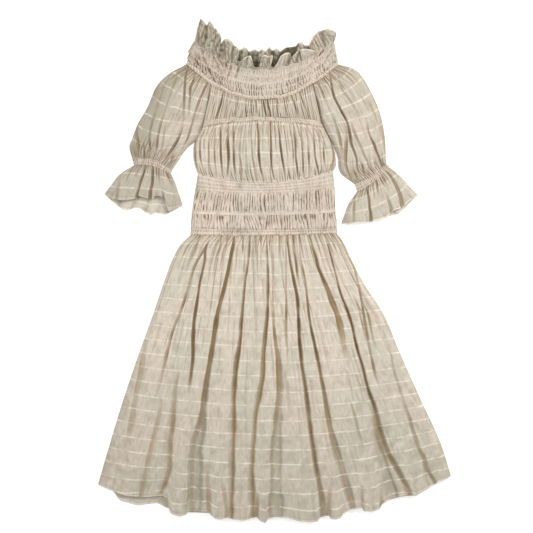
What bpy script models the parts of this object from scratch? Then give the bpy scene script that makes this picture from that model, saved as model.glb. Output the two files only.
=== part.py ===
# An elbow-sleeve dress of gathered cotton voile with a smocked neck and waist,
# laid flat on its back. X runs across the dress, Y from the hem up to the neck and
# Z up from the surface that it lies on. The tables are in millimetres, measured from
# the middle of the dress's outline, and the meshes are built in metres.

import math
from collections import namedtuple

import bmesh
import bpy

MM = 0.001

# Driving dimensions, in millimetres
CLOTH_WALL = 1.6
SEAM_GAP = 0.3
EDGE_ROLL = 16.0
DROP_POWER = 6
BACK_TOP = CLOTH_WALL
FRONT_FLOOR = BACK_TOP + SEAM_GAP
FRONT_SEAM = FRONT_FLOOR + CLOTH_WALL
BACK_GROOVE = 2.0
BACK_HEM_LIFT = 5.0
BACK_CUFF_WAVE = 2.4
CASING_ROWS = 4
CASING_HEIGHT = 3.2
CASING_RIPPLE = 0.5

# How many gathers each band has
NECKBAND_GATHERS = 26
NECK_CASING_RIPPLES = 20
BUST_CASING_RIPPLES = 16
ELBOW_CASING_RIPPLES = 7
YOKE_GATHERS = 22
BODICE_GATHERS = 22
WAIST_GATHERS = 34
BACK_BODICE_COLUMNS = 20
FRONT_RUFFLE_WAVES = 13
BACK_RUFFLE_WAVES = 9
BACK_CUFF_WAVES = 4

# A row across a panel: its two ends, how far its middle hangs past the straight line
# between them, the height of its valleys above the seam, and of its folds above those
Row = namedtuple("Row", "left_x left_y right_x right_y hang_x hang_y lift fold")

# A fold: where its valley crosses the top, middle and hem of the panel, as a share of
# the panel's width, how high it stands there as a share of the row's fold, and how far
# it drops below the hem's own curve
FOLD_FIELDS = "top middle hem top_height middle_height hem_height drop"
Fold = namedtuple("Fold", FOLD_FIELDS, defaults=(0.0,))

# A column of mesh points across the same folds
Column = namedtuple("Column", FOLD_FIELDS)

# One fold's section, as shares of its width and of its height
PLEAT = ((0.0, 0.0), (0.15, 0.7), (0.48, 1.0), (0.86, 0.64))
GATHER = ((0.0, 0.0), (0.32, 1.0), (0.7, 0.9))
FLUTE = tuple((k / 6, 0.5 - 0.5 * math.cos(2 * math.pi * k / 6)) for k in range(6))
GROOVE = ((0.0, 1.0), (0.12, 0.0), (0.88, 0.0))
RIPPLE = ((0.0, 0.0), (0.5, 1.0))
FLAT = ((0.0, 0.0),)

# Rails shared by the pieces round the neck
RUFFLE_EDGE = Row(-170, 577, 135, 553, -11.5, 71, 5.0, 9.0)
BACK_RUFFLE_EDGE = Row(-170, 577, 135, 553, -11.5, 52, 0.0, 3.6)
NECK_TOP = Row(-181, 527, 137, 529, -7.0, 65, 2.0, 2.4)
NECK_FOOT = Row(-200, 483, 145, 483, -1.5, 82, 1.4, 1.2)
CASING_FOOT = Row(-203, 475, 147, 475, -1.0, 82, 1.4, 1.6)

# Where the two raglan seams meet the casing, as shares of its width
LEFT_RAGLAN = 0.164
RIGHT_RAGLAN = 0.833

YOKE_ROWS = (
    Row(-153, 386, 97, 386, -1.0, 16, 1.5, 3.2),
    Row(-163, 344, 106, 344, -0.5, -10, 1.2, 2.0),
)

BODICE_ROWS = (
    Row(-167, 330, 113, 330, -2.0, -15, 1.2, 2.2),
    Row(-183, 298, 129, 298, -2.0, -1, 2.0, 5.2),
    Row(-187, 264, 140, 264, -5.5, 9, 2.2, 5.8),
    Row(-182, 239, 141, 241, -8.5, 15, 1.8, 4.6),
    Row(-176, 224, 135, 229, -3.5, 24, 1.2, 2.2),
)

# The shirred waist: a stitched band, a puff, a casing, a puff and a stitched band
WAIST_ROWS = (
    Row(-176, 224, 135, 229, -3.5, 24, 1.4, 0.6),
    Row(-178, 192, 138, 197, -4.0, 11, 1.2, 0.8),
    Row(-182, 178, 139, 183, -3.0, 10, 2.0, 2.8),
    Row(-187, 155, 140, 159, -1.0, 7, 2.0, 2.8),
    Row(-189, 141, 140, 146, 0.5, 6, 1.2, 0.8),
    Row(-190, 135, 141, 139, 0.5, 6, 2.8, 0.9),
    Row(-190, 128, 141, 131, 0.5, 6, 1.2, 0.8),
    Row(-191, 115, 143, 115, 0.0, 5, 2.0, 2.8),
    Row(-192, 99, 144, 99, 0.0, 4, 1.3, 0.8),
    Row(-193, 83, 144, 87, 0.5, 3, 1.4, 1.2),
)

SKIRT_ROWS = (
    Row(-193, 83, 144, 87, 0.5, 3, 2.6, 2.2),
    Row(-215, 62, 161, 62, -2.0, 5, 2.6, 4.2),
    Row(-233, 30, 175, 30, 0.0, 9, 2.6, 5.6),
    Row(-254, -25, 204, -25, -1.0, 16, 2.6, 6.6),
    Row(-279, -99, 251, -99, -6.0, 25, 2.6, 7.4),
    Row(-309, -182, 286, -182, -3.5, 36, 2.6, 8.2),
    Row(-348, -297, 335, -292, -3.5, 55, 2.6, 9.0),
    Row(-383, -412, 383, -398, -3.0, 78, 2.6, 9.8),
    Row(-406, -490, 406, -470, -1.0, 95, 2.6, 10.6),
)

# The skirt's folds, from left to right. The small ones between the long ones start at
# the waist and run out, and the long ones reach the hem.
SKIRT_FOLDS = (
    Fold(0.000, 0.000, 0.000, 0.6, 0.7, 0.7, 0),
    Fold(0.055, 0.050, 0.045, 0.8, 0.8, 0.9, -4),
    Fold(0.130, 0.110, 0.105, 0.9, 1.0, 0.9, -14),
    Fold(0.185, 0.200, 0.175, 1.0, 0.9, 1.0, 0),
    Fold(0.240, 0.236, 0.212, 0.8, 0.5, 0.4, 7),
    Fold(0.312, 0.276, 0.250, 1.1, 1.2, 1.2, -10),
    Fold(0.362, 0.325, 0.310, 0.8, 0.5, 0.5, -2),
    Fold(0.420, 0.372, 0.365, 1.0, 1.0, 1.0, -2),
    Fold(0.470, 0.420, 0.405, 0.8, 0.6, 0.5, -9),
    Fold(0.523, 0.476, 0.440, 1.0, 1.0, 1.1, 2),
    Fold(0.562, 0.527, 0.500, 0.9, 1.0, 0.8, -9),
    Fold(0.625, 0.572, 0.560, 0.8, 0.7, 0.6, 5),
    Fold(0.660, 0.622, 0.632, 1.1, 1.2, 1.3, -3),
    Fold(0.708, 0.672, 0.675, 0.8, 1.0, 0.8, 4),
    Fold(0.752, 0.727, 0.735, 0.8, 0.6, 0.5, 6),
    Fold(0.800, 0.788, 0.795, 1.1, 0.9, 0.8, -5),
    Fold(0.848, 0.842, 0.860, 1.0, 1.2, 1.2, 4),
    Fold(0.905, 0.886, 0.905, 0.9, 0.9, 0.8, 0),
    Fold(0.955, 0.950, 0.950, 0.8, 0.9, 0.8, 0),
)

# Creases of the back panel, seen from beneath as grooves
BACK_SKIRT_FOLDS = (
    Fold(0.000, 0.000, 0.000, 0.0, 0.0, 0.0),
    Fold(0.140, 0.120, 0.110, 0.9, 1.0, 0.8),
    Fold(0.235, 0.215, 0.200, 1.0, 0.8, 0.6),
    Fold(0.330, 0.300, 0.285, 1.0, 1.2, 1.0),
    Fold(0.415, 0.400, 0.385, 0.8, 0.9, 0.7),
    Fold(0.505, 0.480, 0.475, 1.1, 1.0, 0.9),
    Fold(0.595, 0.575, 0.590, 0.9, 0.7, 0.9),
    Fold(0.680, 0.680, 0.690, 1.1, 1.2, 1.1),
    Fold(0.770, 0.775, 0.785, 0.9, 0.8, 0.7),
    Fold(0.865, 0.880, 0.885, 1.0, 1.0, 0.9),
)

LEFT_SLEEVE_ROWS = (
    Row(-240, 455, -153, 386, -0.5, 0, 3.0, 4.0),
    Row(-273, 421, -163, 344, 1.0, 3, 3.4, 6.0),
    Row(-291, 379, -167, 330, -2.0, 4, 3.6, 7.0),
    Row(-314, 338, -183, 298, -1.5, 5, 3.6, 7.6),
    Row(-327, 304, -204, 278, -0.5, 6, 3.4, 7.6),
    Row(-332, 276, -221, 253, -0.5, 2, 2.8, 6.0),
    Row(-325, 253, -236, 230, -0.5, -13, 1.6, 2.6),
)

LEFT_CUFF_ROWS = (
    Row(-323, 243, -237, 222, -4.0, -10, 1.6, 2.4),
    Row(-353, 225, -229, 205, 2.0, -5, 2.8, 5.4),
    Row(-374, 200, -220, 179, 4.0, -3, 3.0, 7.6),
    Row(-391, 176, -211, 152, 3.0, 1, 3.0, 9.4),
)
LEFT_CUFF_UNDER_EDGE = Row(-391, 176, -211, 152, 4.0, 35, 0.0, 2.4)

RIGHT_SLEEVE_ROWS = (
    Row(97, 386, 181, 465, 2.0, 4, 3.0, 4.0),
    Row(106, 344, 208, 437, 3.0, 4, 3.4, 6.0),
    Row(113, 330, 231, 393, 2.0, 5, 3.6, 7.0),
    Row(129, 298, 248, 343, 3.5, 7, 3.6, 7.6),
    Row(145, 262, 255, 293, 0.5, 7, 3.4, 7.6),
    Row(153, 224, 256, 258, 2.5, 5, 2.8, 6.4),
    Row(185, 199, 258, 244, 2.5, 4, 1.6, 2.6),
)

RIGHT_CUFF_ROWS = (
    Row(190, 183, 264, 239, 2.0, 4, 1.6, 2.4),
    Row(171, 156, 288, 220, 2.5, 9, 2.8, 5.0),
    Row(161, 131, 310, 195, 3.5, 16, 3.0, 7.0),
    Row(153, 109, 331, 175, 4.0, 24, 3.0, 8.6),
)
RIGHT_CUFF_UNDER_EDGE = Row(153, 109, 331, 175, 8.0, 28, 0.0, 2.4)

LEFT_SLEEVE_FOLDS = (
    Fold(0.00, 0.00, 0.00, 0.7, 0.8, 0.8),
    Fold(0.16, 0.15, 0.18, 1.0, 0.9, 0.8),
    Fold(0.34, 0.33, 0.36, 1.1, 1.0, 1.0),
    Fold(0.46, 0.47, 0.50, 0.9, 1.0, 0.9),
    Fold(0.60, 0.62, 0.64, 1.0, 1.1, 1.0),
    Fold(0.72, 0.77, 0.77, 1.0, 0.9, 0.8),
    Fold(0.87, 0.90, 0.90, 0.9, 0.8, 0.8),
)

RIGHT_SLEEVE_FOLDS = (
    Fold(0.00, 0.00, 0.00, 0.8, 0.7, 0.8),
    Fold(0.15, 0.13, 0.16, 1.0, 1.0, 1.0),
    Fold(0.31, 0.30, 0.30, 1.1, 1.1, 1.0),
    Fold(0.45, 0.44, 0.44, 1.0, 1.0, 0.9),
    Fold(0.58, 0.60, 0.60, 1.0, 1.0, 1.0),
    Fold(0.72, 0.76, 0.75, 1.1, 1.1, 0.9),
    Fold(0.87, 0.90, 0.89, 0.9, 0.8, 0.8),
)

LEFT_CUFF_FOLDS = (
    Fold(0.00, 0.00, 0.00, 0.8, 0.7, 0.6),
    Fold(0.14, 0.20, 0.22, 0.9, 0.8, 0.7),
    Fold(0.33, 0.41, 0.44, 1.0, 1.1, 1.1, -6),
    Fold(0.50, 0.56, 0.59, 1.0, 1.2, 1.2, -6),
    Fold(0.68, 0.72, 0.75, 0.9, 1.0, 1.1, 14),
    Fold(0.84, 0.88, 0.89, 0.8, 0.8, 0.7, 8),
)

RIGHT_CUFF_FOLDS = (
    Fold(0.00, 0.00, 0.00, 0.8, 0.8, 0.7),
    Fold(0.20, 0.17, 0.16, 0.9, 1.0, 0.9),
    Fold(0.38, 0.36, 0.35, 1.1, 1.2, 1.2),
    Fold(0.55, 0.56, 0.55, 0.9, 0.8, 0.7),
    Fold(0.72, 0.74, 0.72, 1.0, 1.1, 1.1),
    Fold(0.87, 0.88, 0.87, 0.8, 0.8, 0.8),
)

COLOURS = {
    "voile": (0.66, 0.60, 0.49),
    "shirring": (0.72, 0.63, 0.51),
    "casing": (0.78, 0.69, 0.56),
    "underlayer": (0.56, 0.52, 0.43),
}
VOILE_ROUGHNESS = 0.85


def mix(first, second, share):
    return first + (second - first) * share


def mix_rows(first, second, share):
    return Row(*(mix(a, b, share) for a, b in zip(first, second)))


def rows_between(first, second, count):
    return [mix_rows(first, second, k / (count - 1)) for k in range(count)]


def row_point(row, share):
    # the point at a share of the row's width, on a parabola through its ends
    hang = 4 * share * (1 - share)
    x = mix(row.left_x, row.right_x, share) + hang * row.hang_x
    y = mix(row.left_y, row.right_y, share) - hang * row.hang_y
    return x, y


def part_of_row(row, start, end):
    # the same parabola between two shares of its width
    left_x, left_y = row_point(row, start)
    right_x, right_y = row_point(row, end)
    span = (end - start) ** 2
    return row._replace(
        left_x=left_x,
        left_y=left_y,
        right_x=right_x,
        right_y=right_y,
        hang_x=row.hang_x * span,
        hang_y=row.hang_y * span,
    )


def row_length(row):
    return math.hypot(row.right_x - row.left_x, row.right_y - row.left_y)


def inset_row(row, ends, across):
    # pull the row's ends in along its chord, and move it across the chord
    length = row_length(row)
    along_x = (row.right_x - row.left_x) / length
    along_y = (row.right_y - row.left_y) / length
    return row._replace(
        left_x=row.left_x + ends * along_x + across * along_y,
        left_y=row.left_y + ends * along_y - across * along_x,
        right_x=row.right_x - ends * along_x + across * along_y,
        right_y=row.right_y - ends * along_y - across * along_x,
    )


def inset_panel(rows):
    # a panel is drawn to its seam lines and stands half the seam's gap inside them
    half = SEAM_GAP / 2
    last = len(rows) - 1
    across = [half if k == 0 else -half if k == last else 0.0 for k in range(len(rows))]
    return [inset_row(row, half, shift) for row, shift in zip(rows, across)]


def even_folds(count, phase):
    # gathers of nearly one width, a little uneven in place and height
    folds = []
    for index in range(count):
        shift = 0.2 * math.sin(2.4 * index + phase) if index else 0.0
        place = (index + shift) / count
        height = 0.9 + 0.2 * math.sin(1.7 * index + 2 * phase)
        folds.append(Fold(place, place, place, height, height, height))
    return folds


def fold_columns(folds, section):
    # the mesh's columns: one for each point of each fold's section, and the far edge
    far_edge = Fold(1.0, 1.0, 1.0, *folds[-1][3:])
    columns = []
    for fold, following in zip(folds, list(folds[1:]) + [far_edge]):
        for share, height in section:
            places = [mix(fold[k], following[k], share) for k in range(3)]
            columns.append(Column(*places, *(height * value for value in fold[3:])))
    edge_height = section[0][1]
    columns.append(Column(1.0, 1.0, 1.0, *(edge_height * value for value in far_edge[3:])))
    return columns


def along(top, middle, hem, share):
    # a value given at a panel's top, middle and hem
    if share < 0.5:
        return mix(top, middle, 2 * share)
    return mix(middle, hem, 2 * share - 1)


def edge_rise(row, share):
    # a panel rolls down to its seam at both sides
    distance = min(share, 1 - share) * row_length(row)
    return math.sin(0.5 * math.pi * min(1.0, distance / EDGE_ROLL))


def rows_travelled(rows):
    # how far down the panel each row lies, as a share of its length
    middles = [row_point(row, 0.5) for row in rows]
    steps = [math.dist(a, b) for a, b in zip(middles, middles[1:])]
    total = sum(steps)
    return [sum(steps[:k]) / total for k in range(len(rows))]


def panel_mesh(name, rows, columns, seam_height, floor=None):
    # A grid with a row for each table row and a column for each section point, set to
    # its place and height. The wall is extruded straight down from it, and where a
    # floor is given its inside is plain and flat.
    rows = inset_panel(rows)
    travelled = rows_travelled(rows)
    across = len(columns) - 1
    down = len(rows) - 1
    grid = bmesh.new()
    bmesh.ops.create_grid(grid, x_segments=across, y_segments=down, size=0.5)
    for vertex in grid.verts:
        column = columns[round((vertex.co.x + 0.5) * across)]
        index = round((0.5 - vertex.co.y) * down)
        row = rows[index]
        share = along(*column[:3], travelled[index])
        height = along(*column[3:6], travelled[index])
        rise = edge_rise(row, share)
        x, y = row_point(row, share)
        y -= column.drop * travelled[index] ** DROP_POWER
        z = seam_height + rise * (row.lift + row.fold * height)
        vertex.co = (x, y, z)
    top_faces = list(grid.faces)
    extruded = bmesh.ops.extrude_face_region(grid, geom=top_faces, use_keep_orig=True)
    lower = [item for item in extruded["geom"] if isinstance(item, bmesh.types.BMVert)]
    lower_faces = [item for item in extruded["geom"] if isinstance(item, bmesh.types.BMFace)]
    for vertex in lower:
        vertex.co.z = vertex.co.z - CLOTH_WALL if floor is None else floor
    if floor is not None:
        bmesh.ops.dissolve_faces(grid, faces=lower_faces, use_verts=True)
    for vertex in grid.verts:
        vertex.co = vertex.co * MM
    bmesh.ops.recalc_face_normals(grid, faces=list(grid.faces))
    mesh = bpy.data.meshes.new(name)
    grid.to_mesh(mesh)
    grid.free()
    mesh.shade_smooth()
    mesh.set_sharp_from_angle(angle=math.radians(50))
    return mesh


def cloth_material(name):
    material = bpy.data.materials.new(name)
    material.use_nodes = True
    shader = material.node_tree.nodes["Principled BSDF"]
    shader.inputs["Base Color"].default_value = (*COLOURS[name], 1.0)
    shader.inputs["Roughness"].default_value = VOILE_ROUGHNESS
    shader.inputs["Metallic"].default_value = 0.0
    return material


def add_piece(mesh, collection, material):
    piece = bpy.data.objects.new(mesh.name, mesh)
    own_material = material.copy()
    own_material.name = f"{mesh.name}_{material.name}"
    mesh.materials.append(own_material)
    collection.objects.link(piece)
    return piece


def front_panel(name, rows, columns):
    # a wavy wall over the back layer
    return panel_mesh(name, rows, columns, FRONT_SEAM)


def shirred_panel(name, rows, columns):
    # gathers raised over a plain inside
    return panel_mesh(name, rows, columns, FRONT_SEAM, FRONT_FLOOR)


def back_panel(name, rows, columns):
    # a flat wall on the surface, with creases pushed up into it
    level = [row._replace(lift=0.0) for row in rows]
    return panel_mesh(name, level, columns, BACK_TOP)


def plain_rows(rows):
    return [row._replace(lift=0.0, fold=0.0) for row in rows]


def neck_pieces():
    neckband = rows_between(NECK_TOP, NECK_FOOT, 5)
    neckband[2] = neckband[2]._replace(lift=1.3, fold=0.7)
    gathers = fold_columns(even_folds(NECKBAND_GATHERS, 0.4), GATHER)
    front_ruffle = rows_between(NECK_TOP, RUFFLE_EDGE, 4)[::-1]
    front_flutes = fold_columns(even_folds(FRONT_RUFFLE_WAVES, 1.1), FLUTE)
    back_ruffle = rows_between(NECK_TOP._replace(fold=0.6), BACK_RUFFLE_EDGE, 3)[::-1]
    back_flutes = fold_columns(even_folds(BACK_RUFFLE_WAVES, 2.3), FLUTE)
    back_band = plain_rows([NECK_TOP, CASING_FOOT])
    back_columns = fold_columns(even_folds(NECKBAND_GATHERS, 0.4), FLAT)
    return [
        (front_panel("ruffle_front", front_ruffle, front_flutes), "voile"),
        (back_panel("ruffle_back", back_ruffle, back_flutes), "underlayer"),
        (shirred_panel("neckband_front", neckband, gathers), "shirring"),
        (back_panel("neckband_back", back_band, back_columns), "underlayer"),
    ]


def casing_mesh(name, top, foot, ripples):
    # a rolled elastic tunnel: a low arch between its two seams
    arch = []
    for row in rows_between(top, foot, CASING_ROWS):
        share = len(arch) / (CASING_ROWS - 1)
        lift = CASING_HEIGHT * math.sin(math.pi * mix(0.15, 0.85, share))
        arch.append(row._replace(lift=lift, fold=CASING_RIPPLE))
    return shirred_panel(name, arch, fold_columns(even_folds(ripples, 0.9), RIPPLE))


def bodice_pieces():
    yoke_top = part_of_row(CASING_FOOT, LEFT_RAGLAN, RIGHT_RAGLAN)
    yoke = [yoke_top, *YOKE_ROWS]
    yoke_gathers = fold_columns(even_folds(YOKE_GATHERS, 0.2), GATHER)
    bodice_gathers = fold_columns(even_folds(BODICE_GATHERS, 1.9), GATHER)
    back_columns = fold_columns(even_folds(BACK_BODICE_COLUMNS, 0.6), FLAT)
    back_rows = plain_rows([yoke_top, *YOKE_ROWS, *BODICE_ROWS])
    neck_casing = casing_mesh("neck_casing", NECK_FOOT, CASING_FOOT, NECK_CASING_RIPPLES)
    bust_top, bust_foot = YOKE_ROWS[-1], BODICE_ROWS[0]
    bust_casing = casing_mesh("bust_casing", bust_top, bust_foot, BUST_CASING_RIPPLES)
    return [
        (neck_casing, "casing"),
        (front_panel("yoke_front", yoke, yoke_gathers), "voile"),
        (bust_casing, "casing"),
        (front_panel("bodice_front", BODICE_ROWS, bodice_gathers), "voile"),
        (back_panel("bodice_back", back_rows, back_columns), "underlayer"),
    ]


def waist_pieces():
    gathers = fold_columns(even_folds(WAIST_GATHERS, 0.7), GATHER)
    back_rows = plain_rows([WAIST_ROWS[0], WAIST_ROWS[4], WAIST_ROWS[-1]])
    back_columns = fold_columns(even_folds(WAIST_GATHERS // 2, 0.7), FLAT)
    return [
        (shirred_panel("waist_front", WAIST_ROWS, gathers), "shirring"),
        (back_panel("waist_back", back_rows, back_columns), "underlayer"),
    ]


def skirt_pieces():
    pleats = fold_columns(SKIRT_FOLDS, PLEAT)
    grooves = fold_columns(BACK_SKIRT_FOLDS, GROOVE)
    back_rows = [row._replace(fold=BACK_GROOVE) for row in SKIRT_ROWS]
    back_rows[0] = back_rows[0]._replace(fold=0.0)
    back_rows[-1] = back_rows[-1]._replace(hang_y=SKIRT_ROWS[-1].hang_y - BACK_HEM_LIFT)
    return [
        (front_panel("skirt_front", SKIRT_ROWS, pleats), "voile"),
        (back_panel("skirt_back", back_rows, grooves), "underlayer"),
    ]


def sleeve_pieces(side, shoulder, sleeve_rows, cuff_rows, under_edge, folds, cuff_folds):
    # the two layers of a sleeve, its elastic casing and the two layers of its cuff
    rows = [shoulder, *sleeve_rows]
    pleats = fold_columns(folds, PLEAT)
    flutes = fold_columns(cuff_folds, PLEAT)
    plain = fold_columns(even_folds(6, 0.0), FLAT)
    under_flutes = fold_columns(even_folds(BACK_CUFF_WAVES, 0.5), FLUTE)
    under_cuff = [cuff_rows[0]._replace(fold=0.0), *cuff_rows[1:3], under_edge]
    under_cuff = [row._replace(fold=min(row.fold, BACK_CUFF_WAVE)) for row in under_cuff]
    elbow, wrist = sleeve_rows[-1], cuff_rows[0]
    casing = casing_mesh(f"elbow_casing_{side}", elbow, wrist, ELBOW_CASING_RIPPLES)
    return [
        (front_panel(f"sleeve_{side}_upper", rows, pleats), "voile"),
        (back_panel(f"sleeve_{side}_under", plain_rows(rows), plain), "underlayer"),
        (casing, "casing"),
        (front_panel(f"cuff_{side}_upper", cuff_rows, flutes), "voile"),
        (back_panel(f"cuff_{side}_under", under_cuff, under_flutes), "underlayer"),
    ]


def build_dress():
    for item in list(bpy.data.objects):
        bpy.data.objects.remove(item)
    collection = bpy.data.collections.new("smocked_dress")
    bpy.context.scene.collection.children.link(collection)
    materials = {name: cloth_material(name) for name in COLOURS}
    left_shoulder = part_of_row(CASING_FOOT, 0.0, LEFT_RAGLAN)
    right_shoulder = part_of_row(CASING_FOOT, RIGHT_RAGLAN, 1.0)
    pieces = [
        *neck_pieces(),
        *bodice_pieces(),
        *waist_pieces(),
        *skirt_pieces(),
        *sleeve_pieces(
            "left", left_shoulder, LEFT_SLEEVE_ROWS, LEFT_CUFF_ROWS,
            LEFT_CUFF_UNDER_EDGE, LEFT_SLEEVE_FOLDS, LEFT_CUFF_FOLDS,
        ),
        *sleeve_pieces(
            "right", right_shoulder, RIGHT_SLEEVE_ROWS, RIGHT_CUFF_ROWS,
            RIGHT_CUFF_UNDER_EDGE, RIGHT_SLEEVE_FOLDS, RIGHT_CUFF_FOLDS,
        ),
    ]
    for mesh, finish in pieces:
        add_piece(mesh, collection, materials[finish])


build_dress()
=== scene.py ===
# An elbow-sleeve dress of gathered cotton voile, laid flat on its back.
# X runs across it, Y from hem to neck and Z up. Lengths are in millimetres until a mesh is made.
import math
from types import SimpleNamespace

import bpy
import numpy as np
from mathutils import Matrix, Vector


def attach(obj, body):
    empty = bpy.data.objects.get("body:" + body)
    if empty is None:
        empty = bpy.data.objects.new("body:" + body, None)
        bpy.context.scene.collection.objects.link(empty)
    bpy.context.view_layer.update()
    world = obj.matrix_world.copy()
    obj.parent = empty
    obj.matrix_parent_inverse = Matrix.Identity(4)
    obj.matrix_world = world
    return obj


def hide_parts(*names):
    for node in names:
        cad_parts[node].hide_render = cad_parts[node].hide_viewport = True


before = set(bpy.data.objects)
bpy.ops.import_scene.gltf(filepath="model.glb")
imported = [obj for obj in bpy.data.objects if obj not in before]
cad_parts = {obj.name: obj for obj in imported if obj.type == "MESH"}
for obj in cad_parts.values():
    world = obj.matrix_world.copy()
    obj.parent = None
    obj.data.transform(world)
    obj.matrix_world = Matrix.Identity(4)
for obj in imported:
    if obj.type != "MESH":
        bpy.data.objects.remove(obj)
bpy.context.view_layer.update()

mm = 0.001

clothLook = {
    "slubSpacing": 33.4,     # between two thick weft yarns
    "slubWidth": 3.5,
    "threadPitch": 1.4,      # the real one is 0.35, drawn coarser so that it shows
    "crinkle": (3.2, 28.0),  # fine creases along the warp, width and length
    "pucker": (7.0, 17.0),   # the cloth draws up between two thick yarns
    "rumple": (34, 24),      # slack patches that look greyer
    "fleckAndHighlight": (2.2, 5.0),     # short pale thick places in the yarn
    "tonePatch": (110.0, 176.0),     # slow change from pinkish to greenish cream
    "wallThickness": 0.7,
    "backThickness": 1.2,
    "hemWidth": 5.5,         # double-turned hem
}
foldLook = {
    "bend": 24,              # between the small turns of a fold's line
    "slip": 2.4,             # how far the weft yarns step across a fold, at most
    "lineToTrough": (11, 22),    # a fold this narrow is painted as one dark shaded line, one this wide as a grey shaded trough
    "openOut": (110, 400),   # the folds soften between these, in mm below the dress's middle
    "lightOnBank": 0.34,     # how much paler the painted shade is on the gentler bank
}

seamLevel = 3.5      # top of the front layer at its seams, above the surface it lies on
backLevel = 1.5      # top of the back layer


def linearColour(hexCode):
    shares = [int(hexCode[k:k + 2], 16) / 255 for k in (1, 3, 5)]
    return tuple(v / 12.92 if v <= 0.04045 else ((v + 0.055) / 1.055) ** 2.4 for v in shares) + (1.0,)


def addNode(tree, kind, settings, inputs, output=0):
    # a shader node with its settings, and its inputs as values or links, gives one output
    node = tree.nodes.new("ShaderNode" + kind)
    for key, value in settings.items():
        setattr(node, key, value)
    for key, value in inputs.items() if isinstance(inputs, dict) else enumerate(inputs):
        if isinstance(value, bpy.types.NodeSocket):
            tree.links.new(value, node.inputs[key])
        else:
            node.inputs[key].default_value = value
    return node.outputs[output]


def smoothCurve(knots, values, spots):
    # Hermite curve through values at knots, read at spots, held level beyond its ends
    knots, values = np.asarray(knots, float), np.asarray(values, float)
    slopes = np.gradient(values, knots, axis=0)
    spots = np.clip(np.asarray(spots, float), knots[0], knots[-1])
    index = np.clip(np.searchsorted(knots, spots, side="right") - 1, 0, len(knots) - 2)
    span = knots[index + 1] - knots[index]
    u = (spots - knots[index]) / span
    if values.ndim == 2:
        span, u = span[..., None], u[..., None]
    start, end = values[index], values[index + 1]
    lead = u * (1 - u) ** 2 * span * slopes[index] - u * u * (1 - u) * span * slopes[index + 1]
    return start + (end - start) * u * u * (3 - 2 * u) + lead


def softNoise(across, down, seed):
    # smooth value noise from -1 to 1, one cell to a unit
    lattice = np.random.default_rng(seed).uniform(-1, 1, (96, 96))
    across, down = np.broadcast_arrays(across, down)
    column, row = np.floor(across).astype(int), np.floor(down).astype(int)
    u, v = across - column, down - row
    u, v = u * u * (3 - 2 * u), v * v * (3 - 2 * v)
    near = lattice[column % 96, row % 96] * (1 - u) + lattice[(column + 1) % 96, row % 96] * u
    far = lattice[column % 96, (row + 1) % 96] * (1 - u) + lattice[(column + 1) % 96, (row + 1) % 96] * u
    return near * (1 - v) + far * v


def smoothStep(value, low, high):
    share = np.clip((value - low) / (high - low), 0, 1)
    return share * share * (3 - 2 * share)


def bell(off, width):
    return np.exp(-(off / width) ** 2)


def fade(distance, reach):
    return np.exp(-distance / reach)


def ripple(grid, count, cellDown, seed):
    # noise with so many cells across the cloth, each so many mm long
    return softNoise(grid.s * count, grid.down / cellDown, seed)


def gatherValleys(across, down, count, seed, wander=0.45, cellDown=30.0, sharp=1.6, reach=None):
    # 1 in the bottom of each gather and 0 on its crown, each with a depth and a reach of its own
    place = across * count + wander * softNoise(across * count * 0.5, down / cellDown, seed)
    chance = np.random.default_rng(seed + 9).uniform(0, 1, (2, 512))
    index = np.round(place).astype(int) % 512
    depth = 0.4 + 0.6 * chance[0][index] + 0.2 * softNoise(across * count * 0.9, down / cellDown + 40, seed + 1)
    valley = np.clip(depth, 0.1, 1) * (1 - np.abs(np.sin(math.pi * place))) ** sharp
    if reach:
        valley = valley * bell(down, reach * (0.45 + 1.5 * chance[1][index] ** 2))
    return valley


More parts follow.
